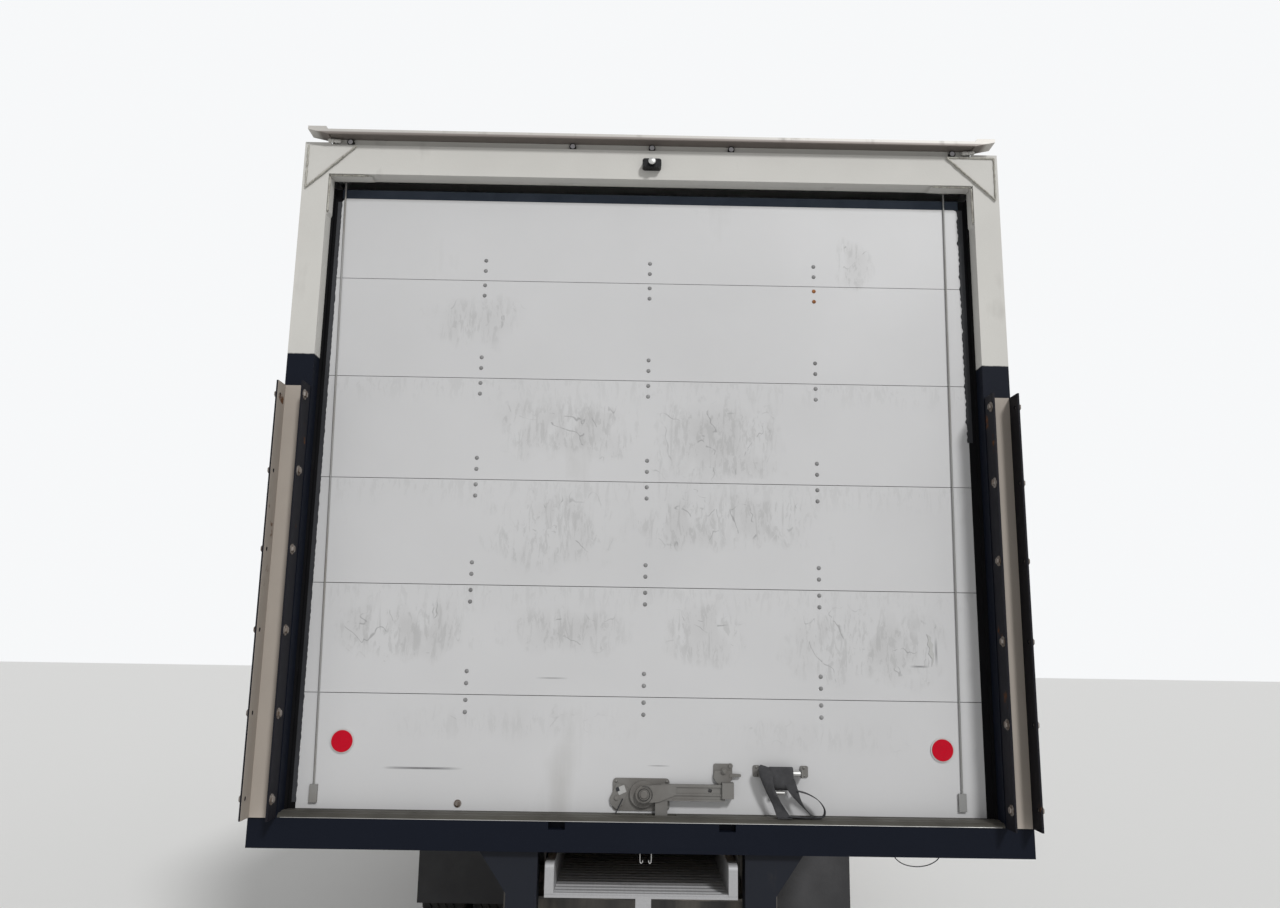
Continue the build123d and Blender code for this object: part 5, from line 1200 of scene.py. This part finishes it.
def webbing():
    """Black nylon webbing, ribbed across, greyed by dust."""
    made, tree, into = shader("webbing", Specular_IOR_Level=0.25, Roughness=0.8)
    place = on_piece(tree)
    ribs = add(tree, "ShaderNodeTexWave", {"Vector": place, "Scale": 240.0, "Distortion": 1.0},
               bands_direction="Z")
    dust = cloudy(tree, place, 40.0, 5.0)
    tone = sums(tree, "MULTIPLY", ribs.outputs[1], dust)
    tree.links.new(mixed(tree, tone, (0.022, 0.022, 0.024, 1), (0.12, 0.12, 0.125, 1)), into["Base Color"])
    embossed(tree, into, ribs.outputs[1], 0.5, 0.0006)
    return made


def bend_at(path, t):
    """A path's middle and half width at t, smoothly between its bends."""
    i = min(int(t), len(path) - 2)
    s = t - i
    found = []
    for k in (0, 1):
        a, b, c, d = (Vector(path[min(max(i + n, 0), len(path) - 1)][k]) for n in (-1, 0, 1, 2))
        found.append(0.5 * (2 * b + (c - a) * s + (2 * a - 5 * b + 4 * c - d) * s ** 2
                            + (3 * b - a - 3 * c + d) * s ** 3))
    return found


def ribbon(name, paths, thick, finish, body="truck"):
    """Webbing as one mesh; a path gives its middle and its half width, as vectors, at each bend."""
    bm = bmesh.new()
    for path in paths:
        rings, fine = [], 8
        for step in range((len(path) - 1) * fine + 1):
            t = step / fine
            middle, half = bend_at(path, t)
            along = bend_at(path, min(t + 0.05, len(path) - 1))[0] - bend_at(path, max(t - 0.05, 0))[0]
            lift = half.cross(along).normalized() * thick / 2
            rings.append([bm.verts.new(middle + a * half + b * lift) for a, b in webbing_edge])
        skin(bm, rings)
        bm.faces.new(rings[0])
        bm.faces.new(rings[-1])
    return finished(name, bm, finish, body, smooth=50)


webbing_edge = ((-1, 0), (-0.93, 1), (-0.3, 1), (0.3, 1), (0.93, 1), (1, 0), (0.93, -1), (0, -1), (-0.93, -1))
strap_cloth = webbing()
# Each bend's place from the door's foot, then its half width as a vector: the wrap over the bar, the
# left band twisted on its way down, the right band to its tip, and the thin end looped out and back.
strap_bends = [
    [(-0.439, 0.014, 0.137, 0.037, 0, 0), (-0.439, 0.026, 0.151, 0.038, 0, 0),
     (-0.439, 0.041, 0.142, 0.038, 0, 0.001), (-0.440, 0.046, 0.116, 0.037, 0, 0.003),
     (-0.441, 0.042, 0.092, 0.036, 0.002, 0.002), (-0.441, 0.028, 0.082, 0.035, 0, 0)],
    [(-0.400, 0.030, 0.150, 0.026, 0, 0.008), (-0.389, 0.047, 0.140, 0.024, 0.002, 0.010),
     (-0.392, 0.053, 0.108, 0.021, -0.004, 0.012), (-0.408, 0.054, 0.070, 0.021, -0.006, 0.012),
     (-0.430, 0.052, 0.032, 0.022, -0.004, 0.009), (-0.443, 0.056, 0.006, 0.023, 0, 0.002),
     (-0.446, 0.068, 0.003, 0.023, 0, 0)],
    [(-0.462, 0.038, 0.118, 0.018, 0, 0), (-0.470, 0.046, 0.092, 0.019, 0, 0.004),
     (-0.483, 0.049, 0.062, 0.017, -0.003, 0.010), (-0.505, 0.050, 0.034, 0.015, -0.004, 0.014),
     (-0.526, 0.052, 0.016, 0.013, 0, 0.012), (-0.534, 0.060, 0.009, 0.012, 0.003, 0.005)],
    [(-0.486, 0.040, 0.082, 0.002, 0.012, 0), (-0.520, 0.048, 0.074, 0.001, 0.012, 0),
     (-0.552, 0.052, 0.056, 0, 0.012, 0), (-0.571, 0.052, 0.030, 0, 0.012, 0),
     (-0.568, 0.050, 0.008, 0, 0.012, 0), (-0.545, 0.048, 0.004, 0, 0.012, 0),
     (-0.500, 0.048, 0.004, 0, 0.012, 0), (-0.458, 0.050, 0.006, 0, 0.012, 0.001)]]
strap_runs = [[(on_door(x, y, z), half) for x, y, z, *half in run] for run in strap_bends]
ribbon("pull_strap", strap_runs, 0.0024, strap_cloth)

# Threshold, walk ramp and rear guard. Bare aluminium, oxidised grey, with a bright worn edge on the
# threshold; a painted steel guard, rubber flaps, and two hooks and a loop of wire under the sill.
def ramp_alloy():
    """Extruded aluminium with painted sunlight on its rear end and painted shade further in."""
    made, tree, into = shader("ramp alloy", Metallic=0.15, Specular_IOR_Level=0.4)
    place = on_piece(tree)
    along = split(tree, place)["Y"]
    uneven = cloudy(tree, place, 6.0, 6.0)
    lines = cloudy(tree, stretched(tree, place, (60.0, 2.0, 60.0)), 3.0, 4.0)
    # Painted sunlight on the tread's rear end, fading to painted shade further in under the sill.
    painted_sunlit_end = between(tree, plus(tree, along, uneven, 0.08), ramp_end - 0.50, ramp_end - 0.20)
    tone = mixed(tree, painted_sunlit_end, (0.20, 0.20, 0.19, 1), (0.42, 0.42, 0.43, 1))
    tree.links.new(mixed(tree, sums(tree, "MULTIPLY", lines, 0.35), tone, (0.12, 0.12, 0.11, 1)),
                   into["Base Color"])
    tree.links.new(plus(tree, 0.35, lines, 0.3), into["Roughness"])
    embossed(tree, into, lines, 0.15, 0.001)
    return made


ramp_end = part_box("walk_ramp")[1].y
coat(ramp_alloy(), "walk_ramp")
threshold_alloy = brushed("threshold alloy", (0.062, 0.058, 0.048), (0.1, 1, 1), 0.55, (0.03, 0.027, 0.023),
                          0.7, 0.2)
coat(threshold_alloy, "sill_plate")
threshold_low, threshold_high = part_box("sill_plate")
tube("threshold_edge", [[(x, threshold_high.y - 0.0004, threshold_low.z + 0.001)
                         for x in (-1.12, -0.5, 0.2, 1.12)]], 0.0011, bright_zinc)
guard_paint = weathered("guard paint", (0.009, 0.011, 0.017), (0.05, 0.042, 0.036), 0.12, 8, 0.5, 0.55,
                        Specular_IOR_Level=0.2)
coat(guard_paint, "underride_guard")
flap_rubber = grained("flap rubber", (0.03, 0.03, 0.032), 90.0)
coat(flap_rubber, "mud_flaps")
hook_y = face - 0.016
hook = ((0, 0.104), (0, 0.128), (0.001, 0.134), (0.005, 0.136), (0.008, 0.132), (0.0085, 0.127))
tube("sill_hooks", [[(x + aside * s, hook_y, deck - drop) for aside, drop in hook]
                    for x, s in ((0.005, -1), (-0.030, 1))], 0.0016, bright_zinc)
wire = ((-0.784, 0, 0.105), (-0.786, 0, 0.112), (-0.81, 0.004, 0.128), (-0.85, 0.006, 0.134),
        (-0.89, 0.004, 0.128), (-0.92, 0, 0.112), (-0.922, 0, 0.105))
tube("hanging_wire", [[(x, hook_y + back, deck - drop) for x, back, drop in wire]], 0.0016, seal_rubber)

# Lamps. Red reflectors in pale rims, clear marker lamps in black rings, a dark camera housing over
# the door, red tail lamps on the guard, and amber lamps on the cab's roof and the body's nose.
def disc_mask(tree, place, spots, radius, soft=0.0006):
    """1 within a radius of any of the (x, z) spots, seen from behind and taken on both sides."""
    parts = split(tree, place)
    out = sums(tree, "ABSOLUTE", parts["X"], 0.0)
    near = []
    for x, z in spots:
        away = add(tree, "ShaderNodeCombineXYZ", {0: sums(tree, "SUBTRACT", out, x), 1: 0.0,
                                                  2: sums(tree, "SUBTRACT", parts["Z"], z)}).outputs[0]
        far = add(tree, "ShaderNodeVectorMath", {0: away}, operation="LENGTH").outputs["Value"]
        near.append(between(tree, far, radius, radius - soft))
    return highest(tree, near)


def lamp_plastic():
    """Moulded lenses with prisms; each lamp's colour goes by its place on the truck."""
    made, tree, into = shader("lamp plastic", Specular_IOR_Level=0.15)
    place = on_piece(tree)
    parts = split(tree, place)
    prisms = add(tree, "ShaderNodeTexVoronoi", {"Vector": place, "Scale": 260.0}).outputs[0]
    red = mixed(tree, prisms, (0.56, 0.0008, 0.018, 1), (0.42, 0.0, 0.012, 1))
    lens = disc_mask(tree, place, [(0.965, deck + 0.208)], 0.0345)
    guard_lamp = sums(tree, "LESS_THAN", parts["Z"], 0.7)
    rear = mixed(tree, sums(tree, "MAXIMUM", lens, guard_lamp), (0.50, 0.49, 0.48, 1), red)
    clear = mixed(tree, disc_mask(tree, place, [(x, deck + 2.249) for x in (0.0, 0.280, 1.063)], 0.0088),
                  (0.015, 0.014, 0.014, 1), (0.42, 0.41, 0.43, 1))
    high = sums(tree, "GREATER_THAN", parts["Z"], deck + 2.20)
    housing = sums(tree, "GREATER_THAN", parts["Z"], deck + 2.10)
    upper = mixed(tree, high, (0.012, 0.012, 0.013, 1), clear)
    behind = mixed(tree, housing, rear, upper)
    ahead = sums(tree, "LESS_THAN", parts["Y"], 0.0)
    amber = mixed(tree, prisms, (0.75, 0.22, 0.01, 1), (0.50, 0.12, 0.004, 1))
    tree.links.new(mixed(tree, ahead, behind, amber), into["Base Color"])
    tree.links.new(plus(tree, 0.18, prisms, 0.25), into["Roughness"])
    embossed(tree, into, prisms, 0.25, 0.001)
    return made


coat(lamp_plastic(), "lamps")
turned("camera_lens", [(0.0125, 0), (0.0125, 0.002), (0.010, 0.003), (0.009, 0.0015), (0, 0.0035)],
       (0, face + 0.038, deck + 2.176), (0, 1, 0), bright_zinc)

# The box round every piece that renders, the floor aside, in metres.
low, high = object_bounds()
